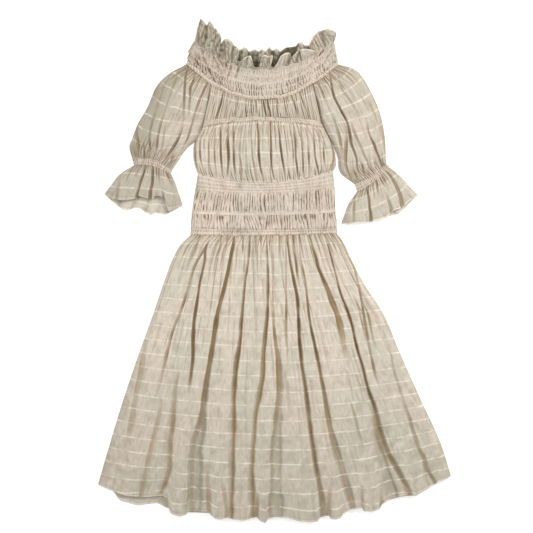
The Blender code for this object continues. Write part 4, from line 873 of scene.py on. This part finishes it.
skirtRows = (
    (-193, 83, 144, 87, 0.5, 3),
    (-215, 62, 161, 62, -2.0, 5),
    (-233, 30, 175, 30, 0.0, 9),
    (-254, -25, 204, -25, -1.0, 16),
    (-279, -99, 251, -99, -6.0, 25),
    (-309, -182, 286, -182, -3.5, 36),
    (-348, -297, 335, -292, -3.5, 55),
    (-383, -412, 383, -398, -3.0, 78),
    (-406, -490, 406, -470, -1.0, 95),
)
skirtFolds = (
    (10, 4, ((-148, 76, 3, 0), (-153, 64, 4, 4), (-178, 21, 4, 5), (-197, -34, 4, 5),
        (-210, -78, 5, 6), (-231, -133, 5, 6), (-259, -239, 7, 3), (-282, -320, 9, 0))),
    (4, 4, ((-141, 78, 3, 0), (-151, 67, 4, 5), (-161, 21, 4, 6), (-171, -28, 4, 8),
        (-177, -64, 5, 9), (-183, -106, 6, 10), (-186, -140, 7, 11), (-187, -205, 6, 10),
        (-191, -235, 5, 8), (-197, -278, 4, 0))),
    (14, 8, ((-217, -205, 6, 0), (-227, -262, 10, 4), (-236, -343, 14, 6),
        (-243, -396, 16, 6), (-248, -478, 14, 6), (-256, -506, 12, 7), (-263, -534, 10, 7))),
    (4, 4, ((-123, 90, 3, 5), (-125, 57, 3, 5), (-133, 34, 3, 5), (-138, 7, 3, 3),
        (-141, -18, 2, 0))),
    (3, 4, ((-93, 90, 4, 6), (-94, 69, 5, 8), (-100, 34, 6, 10), (-108, -7, 8, 12),
        (-118, -48, 9, 13), (-130, -92, 10, 13), (-138, -140, 10, 13), (-144, -182, 10, 13),
        (-151, -223, 11, 13), (-158, -269, 12, 13), (-163, -310, 15, 13),
        (-171, -363, 22, 12), (-181, -400, 28, 11), (-183, -451, 32, 10),
        (-183, -515, 34, 10), (-183, -573, 34, 10))),
    (8, 3, ((-57, 90, 3, 6), (-59, 37, 4, 7), (-66, -16, 4, 8), (-71, -60, 5, 9),
        (-75, -106, 6, 10), (-80, -170, 8, 11), (-89, -223, 9, 11), (-94, -297, 9, 10),
        (-96, -396, 11, 10), (-99, -478, 11, 9), (-101, -577, 11, 9))),
    (3, 3, ((-73, 90, 3, 5), (-73, 53, 3, 5), (-74, 34, 2, 0))),
    (6, 4, ((-19, 90, 3, 6), (-16, 18, 3, 7), (-15, -34, 4, 8), (-17, -106, 6, 10),
        (-21, -147, 8, 11), (-25, -186, 10, 11), (-28, -241, 11, 10), (-37, -288, 11, 9),
        (-45, -331, 9, 7), (-47, -366, 8, 6), (-51, -412, 9, 7), (-53, -451, 10, 8),
        (-52, -534, 12, 8), (-51, -584, 12, 8))),
    (3, 5, ((-4, 90, 3, 3), (-4, -34, 3, 3), (-3, -106, 4, 4), (-1, -140, 5, 6),
        (3, -170, 9, 8), (9, -205, 13, 8), (12, -251, 15, 8), (12, -276, 15, 8),
        (9, -308, 16, 8), (7, -343, 18, 8), (3, -389, 24, 8), (2, -458, 30, 8),
        (2, -513, 34, 8), (2, -584, 36, 8))),
    (3, 3, ((26, 90, 3, 5), (26, 0, 3, 4), (27, -69, 3, 5), (27, -140, 4, 5),
        (29, -182, 3, 4), (29, -209, 2, 0))),
    (3, 4, ((29, 90, 3, 4), (31, 57, 3, 6), (36, 18, 4, 7), (45, -25, 5, 9), (52, -62, 6, 11),
        (55, -113, 6, 12), (57, -159, 6, 12), (63, -218, 7, 12), (72, -274, 8, 12),
        (78, -329, 9, 12), (82, -361, 8, 12), (90, -414, 8, 12), (97, -458, 9, 12),
        (102, -485, 10, 12), (108, -518, 14, 12), (114, -573, 19, 12))),
    (2, 3, ((41, 90, 3, 6), (46, 44, 4, 7), (50, 12, 4, 7), (52, -12, 3, 3), (53, -25, 2, 0))),
    (3, 3, ((56, 90, 2, 4), (60, 30, 3, 4), (70, -25, 3, 6), (75, -70, 4, 7),
        (82, -123, 5, 8), (91, -163, 6, 10), (103, -223, 7, 10), (113, -276, 9, 10),
        (122, -329, 11, 9), (130, -370, 15, 8), (139, -405, 18, 8), (150, -442, 20, 7),
        (161, -485, 20, 7), (174, -527, 18, 7), (181, -564, 16, 7))),
    (3, 6, ((79, 90, 3, 4), (86, 55, 4, 6), (93, 35, 5, 8), (101, 4, 5, 9), (107, -9, 6, 10),
        (118, -34, 9, 10), (131, -70, 11, 9), (145, -106, 12, 7), (154, -145, 12, 5),
        (162, -182, 12, 3), (174, -228, 12, 0))),
    (2, 3, ((112, 90, 3, 4), (121, 64, 3, 5), (131, 28, 3, 6), (140, -10, 3, 7),
        (152, -53, 4, 8), (167, -92, 5, 9), (177, -123, 5, 9), (187, -170, 5, 10),
        (201, -216, 6, 11), (215, -274, 7, 12), (227, -306, 9, 12), (236, -343, 11, 12),
        (247, -384, 13, 12), (261, -419, 15, 12), (277, -448, 16, 12), (293, -476, 16, 11),
        (306, -499, 16, 10), (314, -527, 14, 10))),
    (20, 4, ((224, -306, 6, 0), (227, -343, 10, 4), (233, -389, 16, 6), (243, -423, 20, 6),
        (254, -458, 22, 6), (263, -492, 24, 6), (273, -527, 24, 6))),
    (6, 6, ((148, 85, 3, 4), (164, 44, 4, 4), (181, 14, 5, 4), (191, -25, 4, 5),
        (198, -60, 4, 6), (205, -106, 4, 6), (212, -147, 4, 6), (220, -189, 4, 6),
        (230, -235, 4, 5), (240, -267, 3, 0))),
    (3, 3, ((178, -51, 2, 0), (190, -78, 3, 4), (200, -117, 3, 5), (208, -152, 3, 4),
        (215, -177, 2, 0))),
    (3, 4, ((199, -67, 2, 0), (209, -87, 3, 4), (223, -147, 3, 4), (231, -177, 2, 0))),
    (4, 4, ((256, -170, 3, 0), (265, -189, 3, 3), (272, -223, 4, 3), (283, -259, 4, 3),
        (293, -294, 5, 4), (307, -333, 6, 4), (322, -382, 8, 5), (330, -405, 9, 6),
        (342, -428, 10, 6), (350, -457, 10, 7), (361, -474, 9, 8), (374, -499, 8, 8))),
    (3, 3, ((169, -285, 2, 0), (178, -313, 4, 4), (187, -343, 4, 5), (192, -366, 4, 5),
        (198, -385, 3, 3), (204, -407, 2, 0))),
    (8, 8, ((-289, -136, 8, 0), (-302, -205, 12, 3), (-319, -297, 14, 3), (-332, -366, 12, 3),
        (-346, -423, 10, 0))),
    (8, 10, ((-256, -288, 8, 0), (-263, -331, 10, 3), (-282, -412, 12, 4),
        (-296, -481, 14, 4), (-305, -531, 14, 5))),
    (3, 3, ((128, 90, 3, 5), (137, 57, 3, 4), (146, 34, 2, 0))),
    (3, 3, ((-44, 90, 3, 4), (-43, 44, 3, 4), (-44, 21, 2, 0))),
    (3, 3, ((-31, 90, 2, 4), (-31, 48, 2, 3), (-31, 34, 2, 0))),
    (3, 3, ((10, 90, 3, 4), (12, 44, 3, 4), (13, 21, 2, 0))),
    (3, 3, ((-171, 83, 3, 4), (-181, 53, 3, 4), (-192, 25, 3, 3), (-201, 2, 2, 0))),
    (3, 3, ((-107, 90, 3, 4), (-112, 48, 3, 3), (-116, 30, 2, 0))),
    (10, 10, ((-151, -423, 8, 0), (-153, -481, 10, 4), (-151, -527, 12, 6),
        (-150, -573, 12, 6))),
    (8, 8, ((-121, -476, 6, 0), (-112, -527, 9, 5), (-109, -577, 9, 5))),
    (6, 6, ((-39, -504, 6, 0), (-40, -538, 7, 6), (-41, -582, 7, 6))),
    (8, 8, ((128, -481, 6, 0), (125, -527, 9, 5), (124, -573, 9, 6))),
    (6, 6, ((199, -481, 6, 0), (201, -515, 7, 5), (202, -561, 7, 5))),
    (6, 6, ((243, -492, 6, 0), (245, -520, 7, 5), (246, -554, 7, 6))),
)
skirtHem = ((-406, -490), (-360, -509), (-342, -515), (-300, -519), (-259, -515),
        (-246, -520), (-241, -550), (-236, -557), (-217, -562), (-204, -559), (-197, -551),
        (-174, -551), (-151, -551), (-146, -559), (-135, -568), (-123, -569), (-109, -565),
        (-90, -570), (-70, -572), (-51, -566), (-40, -564), (-33, -573), (-21, -578),
        (-15, -567), (3, -564), (29, -565), (55, -573), (81, -575), (98, -574), (104, -565),
        (124, -560), (130, -568), (141, -569), (152, -565), (158, -554), (178, -545),
        (201, -542), (204, -550), (224, -551), (241, -545), (246, -534), (267, -521),
        (296, -514), (324, -515), (339, -505), (353, -495), (370, -487), (374, -482),
        (396, -475), (407, -470))
skirtBackHem = ((-406, -490), (-371, -505), (-359, -526), (-346, -531), (-313, -540),
        (-293, -536), (-268, -534), (-252, -543), (-217, -554), (-79, -559), (59, -559),
        (197, -538), (245, -532), (270, -524), (296, -518), (325, -516), (344, -506),
        (373, -485), (396, -476), (407, -471))
skirtLook = {
    "across": 350, "downCount": 212, "foldSpread": 0.9, "hemReach": 9, "waistGathers": 84, "gatherReach": 17.0,
    "ceiling": [4.2, 6.2, 9.0, 11.5, 12.8, 13.2],      # how high the front stands over its seam level
    "weftFlattening": 0.45,     # the hem is cut on a curve, so the weft yarns hang less than it does
    "leftHem": (0.14, 0.24),    # the hem lies lower to the left of these shares
}

grid = clothGrid(skirtRows, skirtLook["across"], skirtLook["downCount"])
cut, shade = carveFolds(grid, skirtFolds, skirtLook["foldSpread"])
layHem(grid, skirtHem, skirtLook["hemReach"])
grid.clothDown = grid.down - skirtLook["weftFlattening"] * grid.hangY * (2 * grid.s - 1) ** 2
ceiling = smoothCurve([0, 0.03, 0.12, 0.35, 0.7, 1], skirtLook["ceiling"], grid.t)
ceiling = ceiling + 1.2 * ripple(grid, 10, 170, 111) * np.clip(grid.t * 5, 0, 1)
ceiling = ceiling + 0.75 * ripple(grid, 31, 110, 112) * np.clip(grid.t * 7, 0, 1)
stray, strayShade = strayCreases(
    grid, 114, (46, (0, 0), (30, 130), (1.0, 2.2), (1.4, 4.0)), (26, (0, 0), (120, 420), (1.2, 2.2), (1.4, 3.4)),
    (46, (90, 300), (70, 240), (1.8, 4.0), (0.9, 2.6)), (60, (300, 520), (50, 180), (3.0, 7.0), (0.9, 2.4)),
    (34, (-0.01, -0.01), (30, 120), (3.0, 7.0), (1.0, 2.8)))
fine = gatherValleys(grid.s, grid.down, skirtLook["waistGathers"], 113, 0.5, 40, 1.3, skirtLook["gatherReach"])
across = grid.s * grid.rowWidth
drawn = softNoise(across / 7, grid.down / 17, 115) * np.clip(grid.t * 5, 0, 1)
slanting = softNoise((across + 0.5 * grid.down) / 34, (grid.down - 0.5 * across) / 9, 116)
slanting = (slanting + softNoise((across - 0.7 * grid.down) / 40, (grid.down + 0.7 * across) / 10, 117)) * (
    smoothStep(grid.t, 0.35, 0.8) * np.clip(0.35 + softNoise(across / 90, grid.down / 90, 118), 0, 1))
height = np.maximum(ceiling - np.maximum(cut, stray) - 2.8 * fine + 0.5 * drawn + 0.7 * slanting, 0.7)
height = height * (1 - 0.5 * (1 - smoothStep(grid.s, *skirtLook["leftHem"])) * smoothStep(grid.t, 0.88, 1))
height = seamLevel + height * sideRise(grid) - sideWrap(grid)
# painted shade in folds, creases, gathers, rumples and at the top seam; painted highlight on rumple crests and gather
# crowns; painted grey shade at the sides and more towards the hem
shade = darker(shade, strayShade * (1 - 0.55 * grid.t)) * (1 - 0.2 * smoothStep(grid.t, 0.3, 0.95))
rumpled = 0.6 * drawn + 0.4 * slanting
shade = shade + 0.16 * np.clip(-rumpled - 0.08, 0, 1) - 0.55 * np.clip(rumpled - 0.12, 0, 1) * (shade < 0.1)
shade = shade + 0.75 * fine + 0.3 * fade(grid.down, 2.5) + 0.3 * crown(fine) * fade(grid.down, 14)
grid.dusk = np.clip(grid.dusk + 0.55 * fade(grid.side, 8) + 0.62 * smoothStep(grid.t, 0.15, 1.0) - 0.08, 0, 1)
clothShell("skirtFront", grid, height, shade,
           {**frontCloth, "node": "skirt_front", "flat": (0.86, 0.62), "hem": "foot", "firstSlub": 21,
            "restsOn": ["skirtBack"]})

grid = clothGrid(skirtRows, 130, 100)
layHem(grid, skirtBackHem, skirtLook["hemReach"])
grid.clothDown = grid.down - skirtLook["weftFlattening"] * grid.hangY * (2 * grid.s - 1) ** 2
creases = gatherValleys(grid.s, grid.down, 10, 121, 0.8, 240, 7.0)
height = 0.75 + 1.7 * creases * np.clip(grid.t * 6, 0, 1) * np.clip(grid.side / 20, 0, 1)
# painted shade in the back layer's creases
clothShell("skirtBack", grid, height, 0.02 + 0.25 * creases,
           {**backCloth, "node": "skirt_back", "flat": (0.80, 0.62), "hem": "foot", "firstSlub": 21}, 0.75)
print("skirt laid")


leftSleeveRows = (
    partOfRow(casingFoot, 0.0, leftRaglan),
    (-240, 455, -153, 386, -0.5, 0),
    (-273, 421, -163, 344, 1.0, 3),
    (-291, 379, -167, 330, -2.0, 4),
    (-314, 338, -183, 298, -1.5, 5),
    (-327, 304, -204, 278, -0.5, 6),
    (-332, 276, -221, 253, -0.5, 2),
    (-325, 253, -236, 230, -0.5, -13),
)
leftCuffRows = (
    (-323, 243, -237, 222, -4.0, -10),
    (-353, 225, -229, 205, 2.0, -5),
    (-374, 200, -220, 179, 4.0, -3),
    (-391, 176, -211, 152, 3.0, 1),
)
leftCuffBackEdge = (-391, 176, -211, 152, 4.0, 35)
rightSleeveRows = (
    partOfRow(casingFoot, rightRaglan, 1.0),
    (97, 386, 181, 465, 2.0, 4),
    (106, 344, 208, 437, 3.0, 4),
    (113, 330, 231, 393, 2.0, 5),
    (129, 298, 248, 343, 3.5, 7),
    (145, 262, 255, 293, 0.5, 7),
    (153, 224, 256, 258, 2.5, 5),
    (185, 199, 258, 244, 2.5, 4),
)
rightCuffRows = (
    (190, 183, 264, 239, 2.0, 4),
    (171, 156, 288, 220, 2.5, 9),
    (161, 131, 310, 195, 3.5, 16),
    (153, 109, 331, 175, 4.0, 24),
)
rightCuffBackEdge = (153, 109, 331, 175, 8.0, 28)
leftSleeveFolds = (
    (4, 4, ((-197, 485, 2, 2), (-199, 469, 3, 5), (-204, 444, 4, 7), (-206, 421, 4, 7),
        (-208, 379, 4, 5), (-210, 336, 3, 0))),
    (3, 4, ((-181, 462, 2, 2), (-185, 442, 4, 6), (-193, 421, 6, 9), (-194, 396, 5, 8),
        (-197, 366, 3, 3), (-201, 336, 2, 0))),
    (4, 4, ((-148, 444, 3, 5), (-160, 419, 4, 7), (-169, 400, 4, 6), (-181, 366, 4, 5),
        (-192, 329, 3, 4), (-201, 301, 3, 5), (-209, 285, 3, 3), (-215, 269, 2, 0))),
    (4, 4, ((-125, 414, 4, 6), (-139, 400, 5, 8), (-148, 386, 6, 9), (-153, 368, 5, 8),
        (-162, 345, 4, 5), (-174, 322, 3, 3))),
    (5, 4, ((-238, 453, 3, 0), (-250, 430, 5, 3), (-263, 398, 5, 3), (-273, 366, 5, 3),
        (-282, 336, 5, 5), (-287, 308, 4, 7), (-286, 285, 4, 7), (-288, 262, 3, 5))),
    (5, 4, ((-217, 471, 3, 2), (-227, 439, 5, 4), (-240, 402, 5, 3), (-252, 366, 5, 3),
        (-261, 336, 4, 4), (-267, 308, 4, 7), (-270, 288, 4, 6), (-273, 264, 3, 3))),
    (5, 4, ((-208, 343, 3, 0), (-215, 320, 5, 5), (-224, 297, 6, 9), (-237, 276, 6, 9),
        (-248, 261, 4, 6), (-254, 251, 3, 3))),
    (8, 6, ((-286, 421, 3, 0), (-300, 393, 6, 3), (-312, 352, 7, 3), (-316, 320, 7, 4),
        (-313, 288, 6, 6), (-314, 262, 4, 4))),
    (3, 3, ((-171, 471, 2, 3), (-174, 453, 2, 4), (-178, 430, 2, 0))),
    (4, 4, ((-245, 352, 3, 0), (-252, 324, 4, 4), (-256, 297, 4, 5), (-260, 267, 3, 4))),
    (3, 3, ((-301, 301, 2, 0), (-299, 281, 3, 5), (-298, 255, 2, 4))),
    (3, 3, ((-225, 274, 2, 0), (-236, 258, 4, 6), (-239, 237, 3, 4))),
)
rightSleeveFolds = (
    (3, 4, ((125, 462, 2, 2), (128, 444, 4, 6), (131, 423, 4, 8), (139, 393, 5, 9),
        (151, 370, 5, 9), (164, 345, 5, 9), (171, 317, 6, 10), (176, 290, 6, 10),
        (183, 271, 5, 9), (188, 255, 4, 7), (190, 235, 3, 5), (199, 214, 2, 3))),
    (3, 3, ((89, 439, 3, 4), (98, 430, 4, 6), (107, 416, 4, 6), (112, 400, 3, 4),
        (116, 379, 2, 0))),
    (5, 3, ((89, 412, 3, 5), (98, 391, 5, 8), (102, 370, 6, 9), (107, 347, 6, 9),
        (116, 324, 5, 8), (126, 306, 4, 6), (136, 290, 3, 3))),
    (4, 4, ((210, 343, 3, 0), (218, 310, 4, 7), (228, 290, 5, 8), (233, 274, 5, 8),
        (240, 258, 4, 8), (247, 239, 3, 5))),
    (6, 4, ((155, 352, 3, 0), (164, 320, 5, 4), (164, 283, 7, 7), (162, 264, 8, 8),
        (163, 244, 8, 8), (168, 225, 7, 7), (176, 209, 5, 5))),
    (5, 5, ((171, 352, 3, 0), (187, 306, 5, 5), (198, 283, 5, 5), (204, 267, 5, 4),
        (213, 248, 4, 4), (216, 230, 3, 4))),
    (6, 6, ((146, 425, 3, 3), (167, 398, 6, 4), (187, 366, 6, 3), (201, 338, 5, 0))),
    (4, 4, ((109, 458, 2, 4), (114, 439, 3, 5), (118, 416, 2, 0))),
    (4, 4, ((146, 444, 3, 3), (153, 421, 4, 4), (164, 393, 3, 0))),
    (4, 4, ((197, 255, 2, 0), (202, 237, 4, 7), (207, 218, 3, 5))),
    (3, 3, ((224, 264, 2, 0), (229, 248, 3, 5), (235, 230, 2, 3))),
    (3, 3, ((174, 244, 2, 0), (183, 228, 3, 5), (192, 207, 2, 3))),
    (6, 6, ((236, 370, 3, 0), (245, 329, 6, 3), (252, 288, 5, 3), (256, 255, 3, 2))),
    (5, 5, ((128, 366, 3, 0), (139, 338, 5, 4), (148, 310, 5, 5), (153, 278, 4, 4),
        (158, 251, 3, 0))),
)
leftCuffFolds = (
    (5, 3, ((-297, 251, 3, 6), (-298, 237, 4, 8), (-300, 223, 4, 8), (-305, 209, 5, 9),
        (-310, 191, 6, 9), (-315, 172, 8, 9), (-317, 156, 8, 8))),
    (4, 4, ((-278, 255, 3, 6), (-279, 237, 5, 9), (-279, 218, 7, 10), (-280, 200, 8, 10),
        (-284, 182, 10, 10), (-286, 159, 12, 10))),
    (4, 4, ((-323, 241, 3, 4), (-329, 230, 4, 5), (-336, 216, 4, 4), (-344, 195, 4, 0))),
    (4, 6, ((-259, 241, 3, 4), (-252, 232, 4, 6), (-244, 218, 5, 6), (-237, 202, 5, 4),
        (-231, 182, 5, 0))),
    (3, 3, ((-267, 241, 3, 4), (-266, 228, 3, 5), (-264, 209, 2, 0))),
    (5, 5, ((-259, 195, 3, 0), (-256, 175, 5, 4), (-253, 156, 6, 8), (-250, 136, 6, 9))),
    (5, 6, ((-353, 218, 3, 0), (-358, 198, 6, 3), (-362, 175, 7, 4), (-365, 154, 7, 4))),
    (3, 3, ((-310, 244, 2, 3), (-314, 228, 3, 4), (-319, 207, 2, 0))),
)
rightCuffFolds = (
    (3, 4, ((216, 214, 3, 6), (215, 200, 4, 8), (213, 184, 4, 9), (216, 166, 5, 9),
        (217, 150, 6, 10), (220, 131, 9, 10), (221, 108, 11, 10))),
    (4, 4, ((231, 218, 4, 5), (234, 205, 6, 8), (236, 189, 5, 6), (238, 170, 3, 0))),
    (8, 8, ((261, 225, 3, 3), (268, 214, 5, 6), (276, 200, 8, 7), (284, 182, 9, 7),
        (289, 166, 9, 7), (292, 150, 9, 7), (294, 133, 8, 7))),
    (3, 8, ((190, 186, 3, 2), (185, 172, 4, 4), (182, 152, 5, 5), (181, 131, 5, 5),
        (181, 103, 5, 4))),
    (3, 3, ((201, 202, 3, 4), (198, 186, 3, 5), (192, 166, 2, 0))),
    (3, 3, ((247, 225, 2, 4), (253, 209, 3, 5), (259, 191, 2, 0))),
    (6, 6, ((254, 182, 3, 0), (261, 159, 6, 4), (267, 136, 7, 5), (269, 117, 6, 5))),
)
leftCuffHem = ((-391, 177), (-376, 167), (-364, 164), (-349, 162), (-329, 164), (-316, 166),
        (-313, 173), (-302, 170), (-285, 164), (-278, 166), (-274, 172), (-262, 172),
        (-255, 167), (-247, 148), (-243, 137), (-223, 144), (-207, 154))
leftCuffBackHem = ((-391, 177), (-371, 158), (-350, 142), (-335, 139), (-323, 145),
        (-311, 144), (-293, 133), (-283, 128), (-274, 134), (-264, 132), (-252, 129),
        (-240, 134), (-224, 143), (-207, 153))
rightCuffHem = ((153, 109), (167, 106), (184, 111), (197, 110), (219, 113), (241, 117),
        (256, 122), (268, 131), (274, 139), (286, 143), (298, 150), (305, 158), (321, 168),
        (331, 174))
rightCuffBackHem = ((153, 109), (197, 115), (241, 120), (270, 128), (285, 131), (299, 143),
        (308, 153), (321, 167), (331, 174))
sleeveLook = {
    "weftTurn": 0.36, "weftSag": 9.0,       # how far the weft yarns turn and sag across a sleeve
    "neckGathers": 18, "elbowGathers": 32, "cuffGathers": 26, "reach": 22.0,
    "ceiling": [3.4, 6.5, 9.4, 10.6, 8.8, 3.2], "cuffCeiling": [3.2, 6.2, 9.4, 9.4],
    # how strong the painted shade is in folds, along the outer edge and as grey, for each side
    "foldSpread": 0.8, "foldShadeStrength": {"Left": 0.78, "Right": 0.7}, "cuffFoldSpread": 0.64, "cuffFoldShadeStrength": 0.72,
    "dusk": {"Left": 0.38, "Right": 0.29}, "outerGreyShade": {"Left": 0.85, "Right": 0.2},
    "edgeDark": {"Left": 0.75, "Right": 0.3}, "cuffGreyShade": {"Left": 0.62, "Right": 0.33},
}


def laySleeve(side, rows, folds, cuffRows, cuffFolds, cuffHem, cuffBackEdge, cuffBackHem, seed):
    grid = clothGrid(rows, 172, 150)
    toElbow = grid.length - grid.down
    cut, shade = carveFolds(grid, folds, sleeveLook["foldSpread"])
    shade = shade * sleeveLook["foldShadeStrength"][side]
    stray, strayShade = strayCreases(
        grid, seed + 1, (18, (0, 0), (20, 90), (1.0, 2.2), (1.4, 3.6)),
        (14, (30, 110), (40, 110), (1.4, 3.0), (0.9, 2.2)),
        (24, (-0.01, -0.01), (20, 80), (1.0, 2.4), (1.6, 4.0)))
    neck = gatherValleys(grid.s, grid.down, sleeveLook["neckGathers"], seed, 0.5, 30, 1.4, sleeveLook["reach"])
    elbow = gatherValleys(grid.s, toElbow, sleeveLook["elbowGathers"], seed + 2, 0.6, 24, 1.4,
                          0.8 * sleeveLook["reach"])
    ceiling = smoothCurve([0, 0.08, 0.3, 0.6, 0.88, 1], sleeveLook["ceiling"], grid.t)
    ceiling = ceiling + 0.9 * ripple(grid, 6, 60, seed + 4)
    ceiling = ceiling + 0.6 * ripple(grid, 15, 40, seed + 5)
    height = np.maximum(ceiling - np.maximum(cut, stray) - 2.4 * neck - 3.2 * elbow, 0.4)
    height = seamLevel + height * sideRise(grid, 13) - sideWrap(grid)
    # painted shade in folds, creases, gathers and at the top seam, with a painted highlight on the elbow gathers'
    # crowns
    shade = darker(shade, strayShade) + 0.75 * neck + 0.8 * elbow + 0.45 * fade(grid.down, 1.6)
    shade = shade + 0.4 * crown(elbow) * fade(toElbow, 10)
    outer, turn = (grid.s, sleeveLook["weftTurn"]) if side == "Left" else (1 - grid.s, -sleeveLook["weftTurn"])
    # painted shade along the outer edge, where the cloth rolls down
    rough = np.clip(0.7 + 0.6 * softNoise(0 * grid.s, grid.down / 22, seed + 15), 0.1, 1.2)
    shade = shade + sleeveLook["edgeDark"][side] * rough * bell(outer * grid.rowWidth, 3.4)
    grid.clothDown = (grid.down + turn * (grid.s - 0.5) * grid.rowWidth * (1 - 0.7 * grid.t)
                      - sleeveLook["weftSag"] * (1 - (2 * grid.s - 1) ** 2) + 1.7 * ripple(grid, 9, 40, seed + 14))
    # painted grey shade, stronger on the left sleeve, at the sides and at the outer edge
    grid.dusk = np.clip(0.7 * grid.dusk + sleeveLook["dusk"][side] + 0.6 * fade(grid.side, 7)
                        + sleeveLook["outerGreyShade"][side] * bell(outer, 0.28), 0, 1)
    clothShell(f"sleeve{side}Upper", grid, height, shade,
               {**frontCloth, "node": f"sleeve_{side.lower()}_upper", "flat": (0.17, 0.23), "firstSlub": 14})
    layBackLayer(f"sleeve{side}Under", rows, (60, 60), (0.25, 9, 40), 0.2,
                 {**backCloth, "node": f"sleeve_{side.lower()}_under", "flat": (0.16, 0.22),
                  "firstSlub": 14}, seed + 7)
    layCasing(f"elbowCasing{side}", rows[-1], cuffRows[0], 24, ((0.46, 0.12, 1.3),),
              {**tunnelCloth, "node": f"elbow_casing_{side.lower()}", "material": shirred, "flat": (0.12, 0.014),
               "crimp": 1.5}, seed + 9)

    grid = clothGrid(cuffRows, 150, 84)
    cut, shade = carveFolds(grid, cuffFolds, sleeveLook["cuffFoldSpread"])
    shade = shade * sleeveLook["cuffFoldShadeStrength"]
    stray, strayShade = strayCreases(grid, seed + 12, (22, (0, 0), (20, 60), (1.0, 2.4), (1.6, 4.0)),
                                     (9, (-0.01, -0.01), (15, 45), (2.0, 5.0), (1.0, 2.4)))
    layHem(grid, cuffHem, 5)
    gathers = gatherValleys(grid.s, grid.down, sleeveLook["cuffGathers"], seed + 11, 0.6, 24, 1.4, 17)
    ceiling = smoothCurve([0, 0.12, 0.4, 1], sleeveLook["cuffCeiling"], grid.t)
    ceiling = ceiling + 1.0 * ripple(grid, 5, 50, seed + 13) * grid.t
    height = np.maximum(ceiling - np.maximum(cut, stray) - 2.8 * gathers, 0.5)
    height = seamLevel + height * sideRise(grid, 12) - sideWrap(grid)
    # painted shade in folds, creases and gathers, a painted highlight on the crowns, and painted grey shade
    shade = darker(shade, strayShade) + 0.8 * gathers + 0.4 * crown(gathers) * fade(grid.down, 8)
    grid.dusk = np.clip(grid.dusk + 0.5 * fade(grid.side, 7) + sleeveLook["cuffGreyShade"][side], 0, 1)
    clothShell(f"cuff{side}Upper", grid, height, shade,
               {**frontCloth, "node": f"cuff_{side.lower()}_upper", "flat": (0.19, 0.085), "hem": "foot",
                "firstSlub": 23})

    grid = clothGrid([*cuffRows[:3], cuffBackEdge], 80, 40)
    layHem(grid, cuffBackHem, 5)
    waves = gatherValleys(grid.s, grid.down, 6, seed + 15, 0.5, 60, 1.2)
    height = 1.0 + 2.6 * (1 - waves) * grid.t ** 1.5 * np.clip(grid.side / 12, 0, 1)
    # painted shade in the waves and a painted highlight between them
    clothShell(f"cuff{side}Under", grid, height, 0.04 + 0.4 * waves * grid.t ** 2 - 0.5 * (1 - waves) ** 3,
               {**backCloth, "node": f"cuff_{side.lower()}_under", "flat": (0.19, 0.09), "hem": "foot",
                "firstSlub": 23})


laySleeve("Left", leftSleeveRows, leftSleeveFolds, leftCuffRows, leftCuffFolds, leftCuffHem,
          leftCuffBackEdge, leftCuffBackHem, 131)
laySleeve("Right", rightSleeveRows, rightSleeveFolds, rightCuffRows, rightCuffFolds, rightCuffHem,
          rightCuffBackEdge, rightCuffBackHem, 171)
print("sleeves laid")


studio = {
    "floorSize": 6.0, "floorColour": "#ffffff", "floorGlow": 0.35, "skyStrength": 0.62,
    "softboxes": {"keySoftbox": ((1.7, 1.3, 2.0), 1.1, 46.0), "fillSoftbox": ((-1.9, 0.6, 2.0), 1.5, 16.0)},
    "cameraHeight": 3.405, "centre": (-0.0184, 0.0104), "lens": 100, "sensor": 36,
}

corners = ((-1, -1), (1, -1), (1, 1), (-1, 1))
floorMesh = bpy.data.meshes.new("studioTable")
floorMesh.from_pydata([(x * studio["floorSize"], y * studio["floorSize"], -0.0006) for x, y in corners],
                      [], [(0, 1, 2, 3)])
floor = bpy.data.objects.new("studioTable", floorMesh)
bpy.context.scene.collection.objects.link(floor)
board = bpy.data.materials.new("mattPaintedBoard")      # white paint, flat, no gloss
board.use_nodes = True
boardShader = board.node_tree.nodes["Principled BSDF"]
boardShader.inputs["Base Color"].default_value = linearColour(studio["floorColour"])
boardShader.inputs["Roughness"].default_value = 0.9
boardShader.inputs["Emission Color"].default_value = (1, 1, 1, 1)
boardShader.inputs["Emission Strength"].default_value = studio["floorGlow"]
floorMesh.materials.append(board)

world = bpy.data.worlds.new("softStudio")
bpy.context.scene.world = world
world.use_nodes = True
sky = world.node_tree.nodes["Background"]
sky.inputs["Color"].default_value = (1, 1, 1, 1)
sky.inputs["Strength"].default_value = studio["skyStrength"]

for name, (place, size, power) in studio["softboxes"].items():
    light = bpy.data.lights.new(name, "AREA")
    light.shape, light.size, light.energy = "SQUARE", size, power
    box = bpy.data.objects.new(name, light)
    box.location = place
    box.rotation_euler = Vector([-v for v in place]).to_track_quat("-Z", "Y").to_euler()
    bpy.context.scene.collection.objects.link(box)

camera = bpy.data.objects.new("camera", bpy.data.cameras.new("camera"))
camera.data.lens, camera.data.sensor_width = studio["lens"], studio["sensor"]
camera.location = (*studio["centre"], studio["cameraHeight"])       # straight above, looking down
bpy.context.scene.collection.objects.link(camera)
bpy.context.scene.camera = camera
bpy.context.scene.view_settings.view_transform = "Standard"
print("studio lit")
